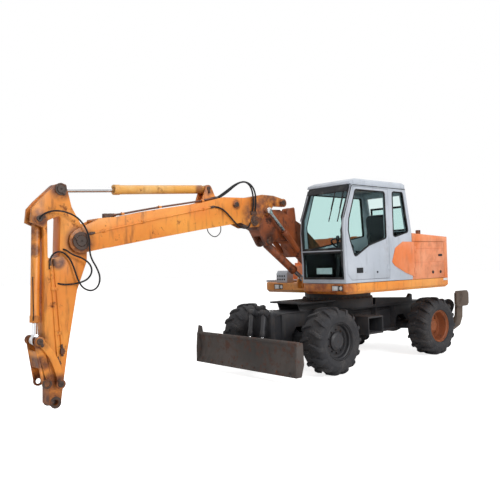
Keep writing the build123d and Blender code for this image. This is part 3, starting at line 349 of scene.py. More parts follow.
# CAD nodes whose paint has aged apart from the rest of their slot, the platform's also darkened at its front
# by painted shade, and nodes whose edges stay sharp
NODE_FINISH = {"platform": "skirt_orange", "blade_cylinder_barrel": "chassis_black"}
UNROUNDED = ("cab_glass", "door_glass", "lamps")
FINISH = {}                                # every material by its slot, filled by the finishes' operator
SLOTS = {                                  # the record's slot of each finish that isn't a slot of its own
    "rubber": "tyre", "plastic_black": "console_plastic", "lining": "console_plastic", "plate": "cab_grey",
    "pin_steel": "engine_iron", "pipe_steel": "engine_iron",
}


def dress_nodes():
    """Give every CAD node the finish of its slot, smooth rounds and slightly rounded edges."""
    for entry in RECORD["subparts"]:
        node = frame["nodes"][entry["node"]]
        node.data.materials.clear()
        node.data.materials.append(FINISH[NODE_FINISH.get(entry["node"], entry["material_slot"])])
        node.data.shade_smooth()
        node.data.set_sharp_from_angle(angle=SMOOTH_TO)
        if entry["node"] not in UNROUNDED:
            weld = node.modifiers.new("weld", "WELD")
            weld.merge_threshold = 0.0001
            round_edges(node, CAD_EDGE)



# ---------- shapes
AHEAD, ACROSS, UP = (Vector(way) for way in ((1, 0, 0), (0, 1, 0), (0, 0, 1)))


def place_object(name, data):
    """A new object in the scene."""
    made = bpy.data.objects.new(name, data)
    bpy.context.scene.collection.objects.link(made)
    return made


def to_mesh(name, shape):
    """Mesh of a bmesh, with its faces turned outwards."""
    mesh = bpy.data.meshes.new(name)
    bmesh.ops.recalc_face_normals(shape, faces=shape.faces)
    shape.to_mesh(mesh)
    shape.free()
    return mesh


def baked(carrier, *helpers):
    """Mesh that an object's curve or modifiers make; the object and its helpers are removed."""
    result = bpy.data.meshes.new_from_object(carrier.evaluated_get(bpy.context.evaluated_depsgraph_get()))
    for made in (carrier, *helpers):
        bpy.data.objects.remove(made)
    return result


def shape_object(name, shape, finish, body, slot=None, smooth=40.0, bevel=0.0):
    """A finished piece from a bmesh: shaded smooth up to an angle, riding on its body with its finish."""
    slot = slot or SLOTS.get(finish, finish)
    piece = place_object(name, to_mesh(name, shape))
    piece.data.materials.append(FINISH[finish])
    piece.data.shade_smooth()
    piece.data.set_sharp_from_angle(angle=math.radians(smooth))
    if bevel:
        round_edges(piece, bevel)
    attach(piece, body)
    return piece


SMOOTH_TO = math.radians(36)               # CAD edges flatter than this are shaded smooth
ROUND_FROM = math.radians(38)              # edges sharper than this are rounded
CAD_EDGE = 5                               # width of the rounding on CAD nodes, in millimetres


def round_edges(piece, width):
    """Round the sharp edges of a piece by a width in millimetres."""
    rounding = piece.modifiers.new("edges", "BEVEL")
    rounding.width = width / 1000
    rounding.segments = 2
    rounding.limit_method = "ANGLE"
    rounding.angle_limit = ROUND_FROM
    rounding.harden_normals = True


def add_box(shape, x, y, z):
    """Box between pairs of limits, in millimetres from the slew centre."""
    low, high = at(x[0], y[0], z[0]), at(x[1], y[1], z[1])
    place = Matrix.Translation((low + high) / 2) @ Matrix.Diagonal((*(high - low), 1))
    bmesh.ops.create_cube(shape, size=1, matrix=place)


def add_bar(shape, start, end, radius, segments=20, end_radius=None):
    """Round bar between two places in metres; radius in millimetres."""
    line = end - start
    turn = line.to_track_quat("Z", "Y").to_matrix().to_4x4()
    place = Matrix.Translation((start + end) / 2) @ turn
    bmesh.ops.create_cone(
        shape, cap_ends=True, segments=segments, radius1=radius / 1000,
        radius2=(radius if end_radius is None else end_radius) / 1000, depth=line.length, matrix=place)


def skin(shape, rings, ends=False):
    """Faces from each ring of vertices to the next and, if asked, across both ends."""
    for near, far in zip(rings, rings[1:]):
        for k in range(len(near)):
            shape.faces.new((near[k - 1], near[k], far[k], far[k - 1]))
    if ends:
        shape.faces.new(rings[0])
        shape.faces.new(rings[-1])


def spokes(first, second, count):
    """Directions all round, from the first of two square ones towards the second."""
    angles = [math.tau * k / count for k in range(count)]
    return [first * math.cos(angle) + second * math.sin(angle) for angle in angles]


def add_prism(shape, outline, y_from, y_to):
    """Plate from a closed outline of (x, z), in millimetres, between two places in y."""
    skin(shape, [[shape.verts.new(at(x, y, z)) for x, z in outline] for y in (y_from, y_to)], ends=True)


def add_lathe(shape, profile, centre, segments=72, axis=ACROSS):
    """Turning about an axis through a centre: the closed profile is (radius, place along) in millimetres."""
    across = axis.orthogonal().normalized()
    turned = spokes(axis.cross(across), across, segments)
    rings = [[shape.verts.new(centre + (spoke * radius + axis * along) / 1000) for spoke in turned]
             for radius, along in profile]
    skin(shape, rings + rings[:1])


def add_tube(shape, places, radius, closed=False, segments=10):
    """Round tube along places in metres, with a flat end at each side unless it is closed."""
    count = len(places)
    rings = []
    side = None
    for k in range(count):
        before = places[k - 1] if closed or k else places[k]
        after = places[(k + 1) % count] if closed or k < count - 1 else places[k]
        run = (after - before).normalized()
        side = run.orthogonal() if side is None else side - run * side.dot(run)
        side.normalize()
        rings.append([shape.verts.new(places[k] + spoke * radius / 1000)
                      for spoke in spokes(side, run.cross(side), segments)])
    skin(shape, rings, ends=not closed)
    if closed:
        last, first = rings[-1], rings[0]
        shift = min(range(segments), key=lambda s: (last[0].co - first[s].co).length)
        skin(shape, [last, first[shift:] + first[:shift]])


def route_curve(name, points, resolution):
    """Curve object led smoothly by a route's points, from the first to the last."""
    data = bpy.data.curves.new(name, "CURVE")
    data.dimensions = "3D"
    data.resolution_u = resolution
    spline = data.splines.new("NURBS")
    spline.points.add(len(points) - 1)
    for point, place in zip(spline.points, points):
        point.co = (*at(*place), 1)
    spline.order_u = 3
    spline.use_endpoint_u = True
    return place_object(name, data)


def smooth_route(points):
    """Places along a smooth line led by a route's points, for a pipe that is clipped all the way."""
    return [vertex.co.copy() for vertex in baked(route_curve("route", points, 10)).vertices]


def repeat_tree():
    """Node group: copies of an item, each turned and moved on from the last, then moved to a centre."""
    tree = bpy.data.node_groups.new("repeat_item", "GeometryNodeTree")
    face = tree.interface
    face.new_socket("Geometry", in_out="OUTPUT", socket_type="NodeSocketGeometry")
    for label, kind in (("Item", "Object"), ("Count", "Int"), ("Turn", "Vector"), ("Step", "Vector"),
                        ("Centre", "Vector")):
        face.new_socket(label, in_out="INPUT", socket_type=f"NodeSocket{kind}")
    given = add(tree, "NodeGroupInput").outputs
    points = add(tree, "GeometryNodePoints", {"Count": given["Count"]}).outputs[0]
    index = add(tree, "GeometryNodeInputIndex").outputs[0]
    turn, step = (add(tree, "ShaderNodeVectorMath", {0: given[label], 3: index}, operation="SCALE").outputs[0]
                  for label in ("Turn", "Step"))
    item = add(tree, "GeometryNodeObjectInfo", {"Object": given["Item"]}).outputs["Geometry"]
    copies = add(tree, "GeometryNodeInstanceOnPoints", {
        "Points": points, "Instance": item, "Rotation": turn}).outputs[0]
    spread = add(tree, "GeometryNodeTranslateInstances", {
        "Instances": copies, "Translation": step}).outputs[0]
    solid = add(tree, "GeometryNodeRealizeInstances", {0: spread}).outputs[0]
    placed = add(tree, "GeometryNodeTransform", {0: solid, "Translation": given["Centre"]}).outputs[0]
    add(tree, "NodeGroupOutput", {0: placed})
    return tree


def add_copies(shape, item, count, centre, turn=(0, 0, 0), step=(0, 0, 0)):
    """Add copies of an item, a bmesh drawn round the origin, to a shape by the repeat group."""
    original = place_object("item", to_mesh("item", item))
    carrier = place_object("carrier", bpy.data.meshes.new("carrier"))
    tree = bpy.data.node_groups.get("repeat_item") or repeat_tree()
    modifier = carrier.modifiers.new("repeat", "NODES")
    modifier.node_group = tree
    values = {"Item": original, "Count": count, "Turn": turn, "Step": step, "Centre": centre}
    for socket in tree.interface.items_tree:
        if socket.in_out == "INPUT":
            modifier[socket.identifier] = values[socket.name]
    shape.from_mesh(baked(carrier, original))


# ---------- operators
class Steps:
    """What the operators of fittings share: each runs its steps in turn."""

    def execute(self, context):
        for step in self.steps:
            step()
        return {"FINISHED"}


class EXCAVATOR_OT_finishes(bpy.types.Operator):
    """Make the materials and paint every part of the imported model"""

    bl_idname = "excavator.finishes"
    bl_label = "Finishes"

    def execute(self, context):
        FINISH.update(finishes(context.scene.excavator_looks))
        dress_nodes()
        return {"FINISHED"}


class EXCAVATOR_OT_stage(bpy.types.Operator):
    """Make the floor, the soft light and the camera"""

    bl_idname = "excavator.stage"
    bl_label = "Stage"

    def execute(self, context):
        light = context.scene.excavator_light
        make_floor(light.floor_size)
        make_light(light)
        make_camera()
        context.scene.view_settings.view_transform = "Standard"
        return {"FINISHED"}


FLOOR_GLOW = 0.80                          # light that the floor adds where the camera sees it


def make_floor(size):
    """A plain pale floor that stays white where the camera sees it and takes the shadow."""
    bpy.ops.mesh.primitive_plane_add(size=size)
    floor = bpy.context.object
    floor.name = "floor"
    material, tree, shader, _ = new_material("floor_paper")
    seen = add(tree, "ShaderNodeLightPath").outputs["Is Camera Ray"]
    glow = add(tree, "ShaderNodeMath", {0: seen, 1: FLOOR_GLOW}, operation="MULTIPLY").outputs[0]
    fill(tree, shader, {
        "Base Color": (0.94, 0.94, 0.94, 1), "Roughness": 0.9, "Emission Color": (1, 1, 1, 1),
        "Emission Strength": glow})
    floor.data.materials.append(material)


def make_light(light):
    """White for the camera, mirrors and glass, an even grey light for the rest, and three large lamps."""
    world = bpy.data.worlds.new("studio")
    bpy.context.scene.world = world
    world.use_nodes = True
    tree = world.node_tree
    path = add(tree, "ShaderNodeLightPath").outputs
    seen = path["Is Camera Ray"]
    for kind in ("Is Glossy Ray", "Is Transmission Ray"):
        seen = add(tree, "ShaderNodeMath", {0: seen, 1: path[kind]}, operation="MAXIMUM").outputs[0]
    strength = add(tree, "ShaderNodeMapRange", {
        "Value": seen, "To Min": light.world_strength, "To Max": 1.0}).outputs[0]
    fill(tree, tree.nodes["Background"], {"Strength": strength, "Color": (1, 1, 1, 1)})
    lamps = [
        # name, place, power, size
        ("key", (1.0, 13.0, 8.0), light.key_power, 5.0),
        ("top", (-2.0, 2.0, 12.0), light.key_power * 0.45, 8.0),
        ("front", (12.0, 2.0, 5.0), light.key_power * 0.14, 8.0),
    ]
    for name, place, power, size in lamps:
        data = bpy.data.lights.new(name, "AREA")
        data.energy = power
        data.size = size
        lamp = place_object(name, data)
        lamp.location = place
        lamp.rotation_mode = "QUATERNION"
        lamp.rotation_quaternion = (Vector((0, 0, 1.2)) - lamp.location).to_track_quat("-Z", "Y")


CAMERA_PLACE = at(8637, 7615, 1815)
CAMERA_YAW = math.radians(49.38)
CAMERA_PITCH = math.radians(1.23)
CAMERA_ROLL = math.radians(-1.59)
CAMERA_LENS = 44.13                        # on a 36 mm sensor


def make_camera():
    """A person's eye height, from the cab's front corner."""
    forward = Vector((-math.cos(CAMERA_YAW) * math.cos(CAMERA_PITCH),
                      -math.sin(CAMERA_YAW) * math.cos(CAMERA_PITCH), math.sin(CAMERA_PITCH)))
    level_right = Vector((-math.sin(CAMERA_YAW), math.cos(CAMERA_YAW), 0))
    level_up = level_right.cross(forward)
    right = level_right * math.cos(CAMERA_ROLL) + level_up * math.sin(CAMERA_ROLL)
    up = level_up * math.cos(CAMERA_ROLL) - level_right * math.sin(CAMERA_ROLL)
    data = bpy.data.cameras.new("camera")
    data.sensor_width = 36
    data.lens = CAMERA_LENS
    data.clip_end = 500
    camera = place_object("camera", data)
    turn = Matrix((right, up, -forward)).transposed().to_4x4()
    camera.matrix_world = Matrix.Translation(CAMERA_PLACE) @ turn
    bpy.context.scene.camera = camera


# ---------- wheels
WHEELS = [
    # name of the wheel's body and CAD nodes, its outer side, the rim's slot, depth of the dish, hub's radius
    ("front_left", 1, "rim_black", 95, 150), ("front_right", -1, "rim_black", 95, 150),
    ("rear_left", 1, "rim_orange", 190, 130), ("rear_right", -1, "rim_orange", 190, 130),
]
LUGS = 15                                  # in each of a tyre's two rows
NUTS = 10
VENTS = 8
RIM_HALF = 193                             # half width over the rim's flanges


def wheel_sizes(name):
    """Centre of a wheel, and its tyre's radius and half width in millimetres, from its CAD node."""
    low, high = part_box(f"tyre_{name}")
    return (low + high) / 2, (high.z - low.z) * 500, (high.y - low.y) * 500


def tyre_casing(half):
    """Closed section of the casing, from one bead round the crown to the other, as (radius, y)."""
    outside = [
        (301, half * 0.82), (306, half * 0.87), (318, half * 0.885), (326, half * 0.90), (334, half * 0.905),
        (352, half * 0.945), (385, half * 0.975), (392, half * 0.985), (399, half * 0.975),
        (430, half * 0.955), (460, half * 0.895), (482, half * 0.80), (494, half * 0.62), (500, half * 0.30),
    ]
    inside = [(r, -y) for r, y in reversed(outside)]
    return outside + [(502, 0)] + inside + [(303, -half * 0.7), (303, half * 0.7)]


def tyre_lug(radius, half, row):
    """One curved lug of a row: it starts by the centre line and sweeps round to run down the shoulder."""
    shape = bmesh.new()
    # across the tread, angle ahead in degrees, half thickness at the top, depth of its top and of its root
    stations = [
        (0.03, -3.6, 19, 0, 42), (0.20, -3.0, 23, 0, 42), (0.42, -1.4, 26, 0, 44), (0.62, 0.9, 28, 4, 50),
        (0.78, 2.9, 29, 14, 66), (0.90, 4.3, 28, 34, 88), (0.965, 5.0, 26, 66, 118),
        (0.985, 5.4, 22, 100, 140), (0.97, 5.6, 17, 122, 150),
    ]
    rings = []
    for share, ahead, thick, drop, depth in stations:
        ring = []
        for along, out in ((-thick - 9, depth), (-thick, drop + 4), (-thick + 5, drop), (thick - 5, drop),
                           (thick, drop + 4), (thick + 9, depth)):
            lift = radius - out
            angle = math.radians(ahead) + along / radius
            ring.append(shape.verts.new(Vector((
                lift * math.sin(angle), row * share * half, lift * math.cos(angle))) / 1000))
        rings.append(ring)
    skin(shape, rings, ends=True)
    return shape


def make_tyre(name):
    """Tyre with its bead, swollen side walls and two rows of curved lugs, in place of the plain CAD one."""
    centre, radius, half = wheel_sizes(name)
    tyre = bmesh.new()
    add_lathe(tyre, tyre_casing(half), centre, segments=96)
    pitch = math.tau / LUGS
    for row, first in ((1, 0.0), (-1, 0.5)):
        lug = tyre_lug(radius, half, row)
        bmesh.ops.rotate(lug, verts=lug.verts, matrix=Matrix.Rotation(first * pitch, 3, "Y"))
        add_copies(tyre, lug, LUGS, centre, turn=(0, pitch, 0))
    piece = shape_object(f"tyre_{name}_treaded", tyre, "tyre", f"wheel_{name}", smooth=32)
    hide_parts(f"tyre_{name}")


def make_rim(name, sign, slot, dish, hub_r):
    """Turned rim with rolled flanges, dished disc, hub and nuts, in place of the facetted CAD one."""
    low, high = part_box(f"rim_{name}")
    centre = wheel_sizes(name)[0]
    bed = (high.z - low.z) * 500
    edge = RIM_HALF
    face = edge - dish
    profile = [
        (bed, edge - 4), (bed - 3, edge - 1), (bed - 7, edge), (bed - 11, edge - 2), (bed - 13, edge - 8),
        (bed - 15, edge - 22), (bed - 24, edge - 34), (bed - 32, edge - 40), (bed - 35, edge - 52),
        (bed - 36, face + 20), (bed - 44, face + 5), (bed - 56, face), (hub_r + 58, face),
        (hub_r + 46, face + 7), (hub_r + 20, face + 9), (0.5, face + 9), (0.5, face - 26),
        (bed - 60, face - 26), (bed - 46, face - 34), (bed - 16, -edge + 8), (bed - 11, -edge + 1),
        (bed - 6, -edge), (bed, -edge + 4),
    ]
    rim = bmesh.new()
    add_lathe(rim, [(r, sign * y) for r, y in profile], centre, segments=96)
    hub = [
        (hub_r, face + 4), (hub_r, face + 34), (hub_r - 3, face + 40), (hub_r - 12, face + 45),
        (hub_r - 34, face + 55), (hub_r - 40, face + 60), (hub_r - 62, face + 60), (hub_r - 65, face + 57),
        (24, face + 57), (22, face + 60), (0.5, face + 60), (0.5, face + 4),
    ]
    add_lathe(rim, [(r, sign * y) for r, y in hub], centre, segments=64)
    nut = bmesh.new()
    ring = (hub_r + 33) / 1000
    start = Vector((0, sign * (face + 8) / 1000, ring))
    add_bar(nut, start, start + Vector((0, sign * 0.020, 0)), 15, segments=6)
    add_bar(nut, start, start + Vector((0, sign * 0.030, 0)), 8, segments=12)
    add_copies(rim, nut, NUTS, centre, turn=(0, math.tau / NUTS, 0))
    hole = bmesh.new()
    start = Vector((0, sign * (face - 4) / 1000, (bed - 74) / 1000))
    add_bar(hole, start, start + Vector((0, sign * 0.0055, 0)), 11, segments=16)
    add_copies(rim, hole, VENTS, centre, turn=(0, math.tau / VENTS, 0))
    piece = shape_object(f"rim_{name}_turned", rim, slot, f"wheel_{name}", smooth=35)
    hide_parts(f"rim_{name}")


class EXCAVATOR_OT_wheels(bpy.types.Operator):
    """Make the four tyres with their tread, and the four rims with hubs and nuts"""

    bl_idname = "excavator.wheels"
    bl_label = "Wheels"

    def execute(self, context):
        for name, sign, slot, dish, hub_r in WHEELS:
            make_tyre(name)
            make_rim(name, sign, slot, dish, hub_r)
        return {"FINISHED"}


# ---------- cab
def pane_rims(node, facing):
    """Outline of each pane of a glass node, on the side that it faces, as places in order."""
    shape = bmesh.new()
    shape.from_mesh(frame["nodes"][node].data)
    bmesh.ops.remove_doubles(shape, verts=shape.verts, dist=1e-5)
    wanted = {face for face in shape.faces if face.normal.dot(facing) > 0.6}
    edges = [edge for edge in shape.edges if sum(face in wanted for face in edge.link_faces) == 1]
    rims = []
    while edges:
        edge = edges.pop(0)
        rim = [edge.verts[0], edge.verts[1]]
        while rim[-1] is not rim[0]:
            edge = next(e for e in rim[-1].link_edges if e in edges)
            edges.remove(edge)
            rim.append(edge.other_vert(rim[-1]))
        rims.append([vertex.co.copy() for vertex in rim[:-1]])
    shape.free()
    return rims


SEALS = [
    # name, glass node, side it faces, radius of the rubber, how far it stands out of the glass, body
    ("windshield_seals", "cab_glass", (1, 0, 0), 23, 9, "upper"),
    ("rear_side_seal", "cab_glass", (0, 1, 0), 13, 9, "upper"),
    ("far_side_seal", "cab_glass", (0, -1, 0), 13, 9, "upper"),
    ("back_seal", "cab_glass", (-1, 0, 0), 13, 9, "upper"),
    ("door_seal", "door_glass", (0, 1, 0), 16, 9, "cab_door"),
]


def make_seals():
    """Black rubber round every pane."""
    for name, node, facing, radius, proud, body in SEALS:
        facing = Vector(facing)
        seals = bmesh.new()
        for rim in pane_rims(node, facing):
            add_tube(seals, [place + facing * proud / 1000 for place in rim], radius, closed=True, segments=8)
        shape_object(name, seals, "rubber", body, smooth=80)


def make_wipers():
    """Two arms with their blades, hung from the windshield's head near the door side."""
    wipers = bmesh.new()
    # pivot and foot of each, as (x, y, z)
    for pivot, foot in (((1008, 1120, 2975), (1164, 1085, 2440)), ((1010, 940, 2968), (1170, 905, 2450))):
        start, end = at(*pivot), at(*foot)
        add_bar(wipers, start - Vector((0.03, 0, 0.01)), start + Vector((0.022, 0, 0.008)), 20)
        out = Vector((0.022, 0, 0.008))
        add_bar(wipers, start + out, start.lerp(end, 0.62) + out, 11, segments=8, end_radius=8)
        add_bar(wipers, start.lerp(end, 0.22) + out * 0.5, end + out * 0.5, 11, segments=6, end_radius=9)
        for share in (0.36, 0.62, 0.9):
            place = start.lerp(end, share)
            add_bar(wipers, place, place + out, 5, segments=8)
    shape_object("windshield_wipers", wipers, "rubber", "upper", "console_plastic")


def make_cab_fittings():
    """Visor, crossbar cover, door handle with its recess and lock, grab rails and roof gutter."""
    black = bmesh.new()
    # the visor's black is partly the plastic of a drip moulding and partly painted shade under the roof's
    # front edge
    add_prism(black, [(962, 3046), (1004, 3046), (1056, 2934), (1030, 2930), (962, 3010)], 318, 1178)
    add_box(black, (1150, 1184), (316, 1180), (1953, 2002))
    shape_object("windshield_visor", black, "plastic_black", "upper", bevel=8)
    gutter = bmesh.new()
    gutter_line = [(-470, 3036), (930, 3036), (975, 3020), (1110, 2680), (1186, 2500)]
    add_tube(gutter, [at(x, 1228, z) for x, z in gutter_line], 6)
    add_tube(gutter, [at(x, 264, z) for x, z in gutter_line], 6)
    shape_object("roof_gutters", gutter, "plastic_black", "upper", "cab_grey")
    rails = bmesh.new()
    add_tube(rails, smooth_route([(1206, 1196, 1700), (1228, 1204, 1700), (1234, 1204, 1760),
                                  (1246, 1204, 2150), (1238, 1204, 2230), (1210, 1196, 2230)]), 9)
    shape_object("cab_grab_rail", rails, "plastic_black", "upper", smooth=60)
    handle = bmesh.new()
    add_box(handle, (738, 902), (1224, 1228), (1606, 1692))
    grip = [(752, 1636), (758, 1622), (884, 1622), (890, 1636), (886, 1664), (756, 1664)]
    add_prism(handle, grip, 1228, 1238)
    add_bar(handle, at(368, 1222, 1610), at(368, 1233, 1610), 17)
    add_bar(handle, at(868, 1226, 1678), at(868, 1231, 1678), 8)
    shape_object("door_handle", handle, "plastic_black", "cab_door", bevel=3)
    plate = bmesh.new()
    add_box(plate, (1128, 1132), (560, 900), (1600, 1700))
    shape_object("blank_plate", plate, "plate", "upper", bevel=1)


def make_lining():
    """Dark ribbed mat on the cab's floor and trim panels on its walls and door, near-black partly as painted
    shade inside the cab.
    """
    trim = bmesh.new()
    add_prism(trim, [(-560, 1500), (1120, 1500), (1120, 1512), (-560, 1512)], 322, 1172)
    rib = bmesh.new()
    add_bar(rib, Vector((0, -0.40, 0.012)), Vector((0, 0.40, 0.012)), 5, segments=6)
    add_copies(trim, rib, 18, at(330, 747, 1502), step=(0.044, 0, 0))
    add_prism(trim, [(-560, 1512), (1100, 1512), (1150, 1940), (1120, 1985), (-560, 1985)], 316, 328)
    add_prism(trim, [(-584, 1512), (-572, 1512), (-572, 2300), (-584, 2300)], 330, 1160)
    shape_object("cab_lining", trim, "lining", "upper", bevel=2)
    panel = bmesh.new()
    face = [(60, 1560), (1040, 1560), (1080, 1600), (1080, 1800), (1000, 1850), (60, 1850)]
    add_prism(panel, face, 1168, 1180)
    add_prism(panel, [(240, 1700), (700, 1700), (690, 1760), (250, 1760)], 1128, 1168)
    shape_object("door_trim", panel, "lining", "cab_door", bevel=5)


def make_controls():
    """Steering wheel on its column, joystick knobs with their gaiters, and pedals."""
    controls = bmesh.new()
    centre = at(700, 760, 2090)
    axis = Vector((-0.5, 0, 0.866))
    across = Vector((0, 1, 0))
    ring = [centre + spoke * 0.19 for spoke in spokes(across, axis.cross(across), 48)]
    add_tube(controls, ring, 15, closed=True)
    for k in (4, 20, 36):
        add_bar(controls, centre - axis * 0.02, ring[k], 13, segments=8, end_radius=9)
    add_bar(controls, centre - axis * 0.10, centre + axis * 0.012, 42, end_radius=52)
    gaiter = [(4, -40), (52, -40), (44, -24), (48, -10), (34, 10), (38, 24), (24, 46), (20, 60), (4, 60)]
    knob = [(2, 0), (22, 4), (30, 30), (34, 66), (30, 92), (18, 108), (2, 112)]
    for y in (1110, 420):
        for profile, z in ((gaiter, 2010), (knob, 2150)):
            add_lathe(controls, profile, at(420, y, z), segments=24, axis=UP)
    for y in (640, 880):
        add_box(controls, (820, 960), (y, y + 90), (1512, 1530))
    shape_object("cab_controls", controls, "console_plastic", "upper", bevel=2)


def cushion_form(centre, half, lean, crown, channels):
    """Stuffed cushion: a closed form with soft edges and a crowned face, and sewn channels across it."""
    shape = bmesh.new()
    bmesh.ops.create_cube(shape, size=2)
    bmesh.ops.subdivide_edges(shape, edges=shape.edges, cuts=31, use_grid_fill=True)
    for vertex in shape.verts:
        x, y, z = vertex.co
        spread = (abs(x) ** 6 + abs(y) ** 6 + abs(z) ** 6) ** (1 / 6)
        x, y, z = x / spread, y / spread, z / spread
        pull = 1 - 0.03 * (1 - x * x) * (abs(y) > 0.5)
        z = z * half[2] + (crown * (1 - x * x) * (1 - y * y) if z > 0 else 0)
        for channel in channels:
            z -= 9 * math.exp(-((x - channel) / 0.045) ** 2) * (z > 0)
        vertex.co = Vector((x * half[0], y * half[1] * pull, z)) / 1000
    turn = Matrix.Translation(at(*centre)) @ Matrix.Rotation(math.radians(lean), 4, "Y")
    bmesh.ops.transform(shape, matrix=turn, verts=shape.verts)
    return shape


def make_seat():
    """Cushion and back on a bellows base, in place of the plain CAD seat."""
    base = bmesh.new()
    for k in range(5):
        z = 1500 + 50 * k
        add_box(base, (-235, 285), (535, 985), (z, z + 30))
        add_box(base, (-215, 265), (555, 965), (z + 28, z + 52))
    shape_object("seat_base", base, "console_plastic", "upper", bevel=8)
    cushion = cushion_form((-15, 760, 1826), (312, 256, 60), 0, 12, (-0.45, 0.0, 0.45))
    seat = shape_object("seat_cushion", cushion, "seat_fabric", "upper", smooth=70)
    back = cushion_form((-302, 760, 2262), (356, 236, 56), -82, 6, (-0.5, -0.1, 0.3))
    rest = shape_object("seat_back", back, "seat_fabric", "upper", smooth=70)
    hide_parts("seat")


class EXCAVATOR_OT_cab(Steps, bpy.types.Operator):
    """Make the cab's seals, wipers, handles and visor, and its lining, controls and seat"""

    bl_idname = "excavator.cab"
    bl_label = "Cab"
    steps = (make_seals, make_wipers, make_cab_fittings, make_lining, make_controls, make_seat)


# ---------- boom and arm
def by_body(rows):
    """Pairs of a body, the first entry of a table's rows, and the rest of its rows."""
    groups = {}
    for body, *rest in rows:
        groups.setdefault(body, []).append(rest)
    return groups.items()


PINS = [
    # body, place (x, z) of a pin, |y| of the face it stands on, radius of its cap, direction of its keeper
    ("boom_outer", (2140, 2500), 180, 52, 150), ("boom_outer", (2499, 2745), 174, 40, -20),
    ("boom_outer", (1479, 2814), 170, 46, 0), ("boom_outer", (5126, 2164), 176, 72, 20),
    ("boom_outer", (2988, 2975), 93, 34, -90), ("arm", (5366, 2829), 127, 54, -120),
    ("arm", (5650, 2445), 127, 40, 160), ("rocker", (5441, 362), 179, 40, 60),
    ("rocker", (5700, 921), 179, 40, -115), ("upper", (400, 1650), 183, 50, -60),
    ("upper", (900, 1510), 76, 36, 90), ("boom_lower", (1800, 2165), 125, 44, 100),
]


def add_pin(shape, place, face, sign, radius, keeper):
    """End of a pin on a face: a chamfered cap with a grease point, and a keeper plate with its bolt."""
    centre = at(place[0], sign * face, place[1])
    cap = [(0.5, -2), (radius, -2), (radius, 9), (radius - 5, 14), (12, 14), (10, 9), (5, 9), (5, 16),
           (0.5, 17)]
    add_lathe(shape, cap, centre, segments=32, axis=Vector((0, sign, 0)))
    angle = math.radians(keeper)
    ahead = Vector((math.cos(angle), 0, math.sin(angle)))
    beside = Vector((-ahead.z, 0, ahead.x))
    out = Vector((0, sign, 0))
    far = centre + ahead * (radius + 34) / 1000
    corners = [centre + ahead * (radius - 16) / 1000 + beside * side / 1000 for side in (-16, 16)]
    corners += [far + beside * side / 1000 for side in (16, -16)]
    skin(shape, [[shape.verts.new(corner + out * rise) for corner in corners] for rise in (-0.001, 0.020)],
         ends=True)
    bolt = far - ahead * 0.018
    add_bar(shape, bolt, bolt + out * 0.030, 11, segments=6)


def make_pins():
    """Caps of the pins on both sides of the boom, arm, rocker and the boom's foot."""
    for body, pins in by_body(PINS):
        caps = bmesh.new()
        for place, face, radius, keeper in pins:
            for sign in (1, -1):
                add_pin(caps, place, face, sign, radius, keeper)
        shape_object(f"pins_{body}", caps, "pin_steel", body, bevel=1.5)


RINGS = [
    # body, place (x, z), |y| of the inner side, |y| of the outer side, inner and outer radius
    ("boom_outer", (5126, 2164), 176, 184, 74, 118), ("arm", (5490, 130), 115, 120, 36, 74),
    ("bucket_link", (5609, 387), 147, 158, 36, 62), ("arm", (5366, 2829), 127, 133, 56, 78),
    ("boom_outer", (2140, 2500), 180, 186, 54, 84),
]


def make_rings():
    """Raised greasy rings round the large joints, turned with a chamfer, on both sides."""
    for body, turned in by_body(RINGS):
        rings = bmesh.new()
        for place, inner_y, outer_y, inner_r, outer_r in turned:
            section = [(inner_r, inner_y - 1), (outer_r, inner_y - 1), (outer_r, outer_y - 3),
                       (outer_r - 3, outer_y), (inner_r + 3, outer_y), (inner_r, outer_y - 3)]
            for sign in (1, -1):
                add_lathe(rings, [(r, sign * y) for r, y in section], at(place[0], 0, place[1]), segments=48)
        shape_object(f"rings_{body}", rings, "pin_steel", body, smooth=35)


def add_clamp(shape, place, along, out, span, height):
    """Saddle over a pair of pipes with a bolt in its middle."""
    across = along.cross(out).normalized()
    outline = [(-span, 0), (-span, height * 0.6), (-span * 0.7, height), (span * 0.7, height),
               (span, height * 0.6), (span, 0)]
    skin(shape, [[shape.verts.new(place + (across * a + out * b + along * end) / 1000) for a, b in outline]
                 for end in (-20, 20)], ends=True)
    add_bar(shape, place + out * height / 1000, place + out * (height + 9) / 1000, 10, segments=6)


PIPES = [
    # name, body, radius, finish, route (x, y, z)
    ("boom_pipes_near", "boom_outer", 14, "pipe_steel",
     [(2883, 134, 2834), (3000, 134, 2816), (3207, 134, 2767), (4079, 134, 2624), (4553, 134, 2526),
      (4700, 134, 2512)]),
    ("boom_pipes_inner", "boom_outer", 14, "pipe_steel",
     [(2900, 98, 2830), (3000, 98, 2816), (3207, 98, 2767), (4079, 98, 2624), (4553, 98, 2526),
      (4640, 98, 2516)]),
    ("boom_side_pipe", "boom_outer", 11, "boom_orange",
     [(2971, 172, 2688), (3142, 172, 2651), (3700, 172, 2536), (4203, 172, 2431), (4874, 172, 2283),
      (4990, 172, 2262)]),
    ("arm_pipe_front", "arm", 10, "boom_orange",
     [(5530, 126, 1905), (5500, 126, 1500), (5474, 126, 900), (5454, 126, 650)]),
    ("arm_pipe_rear", "arm", 10, "boom_orange",
     [(5480, 126, 1905), (5448, 126, 1500), (5415, 126, 1000), (5398, 126, 800)]),
]
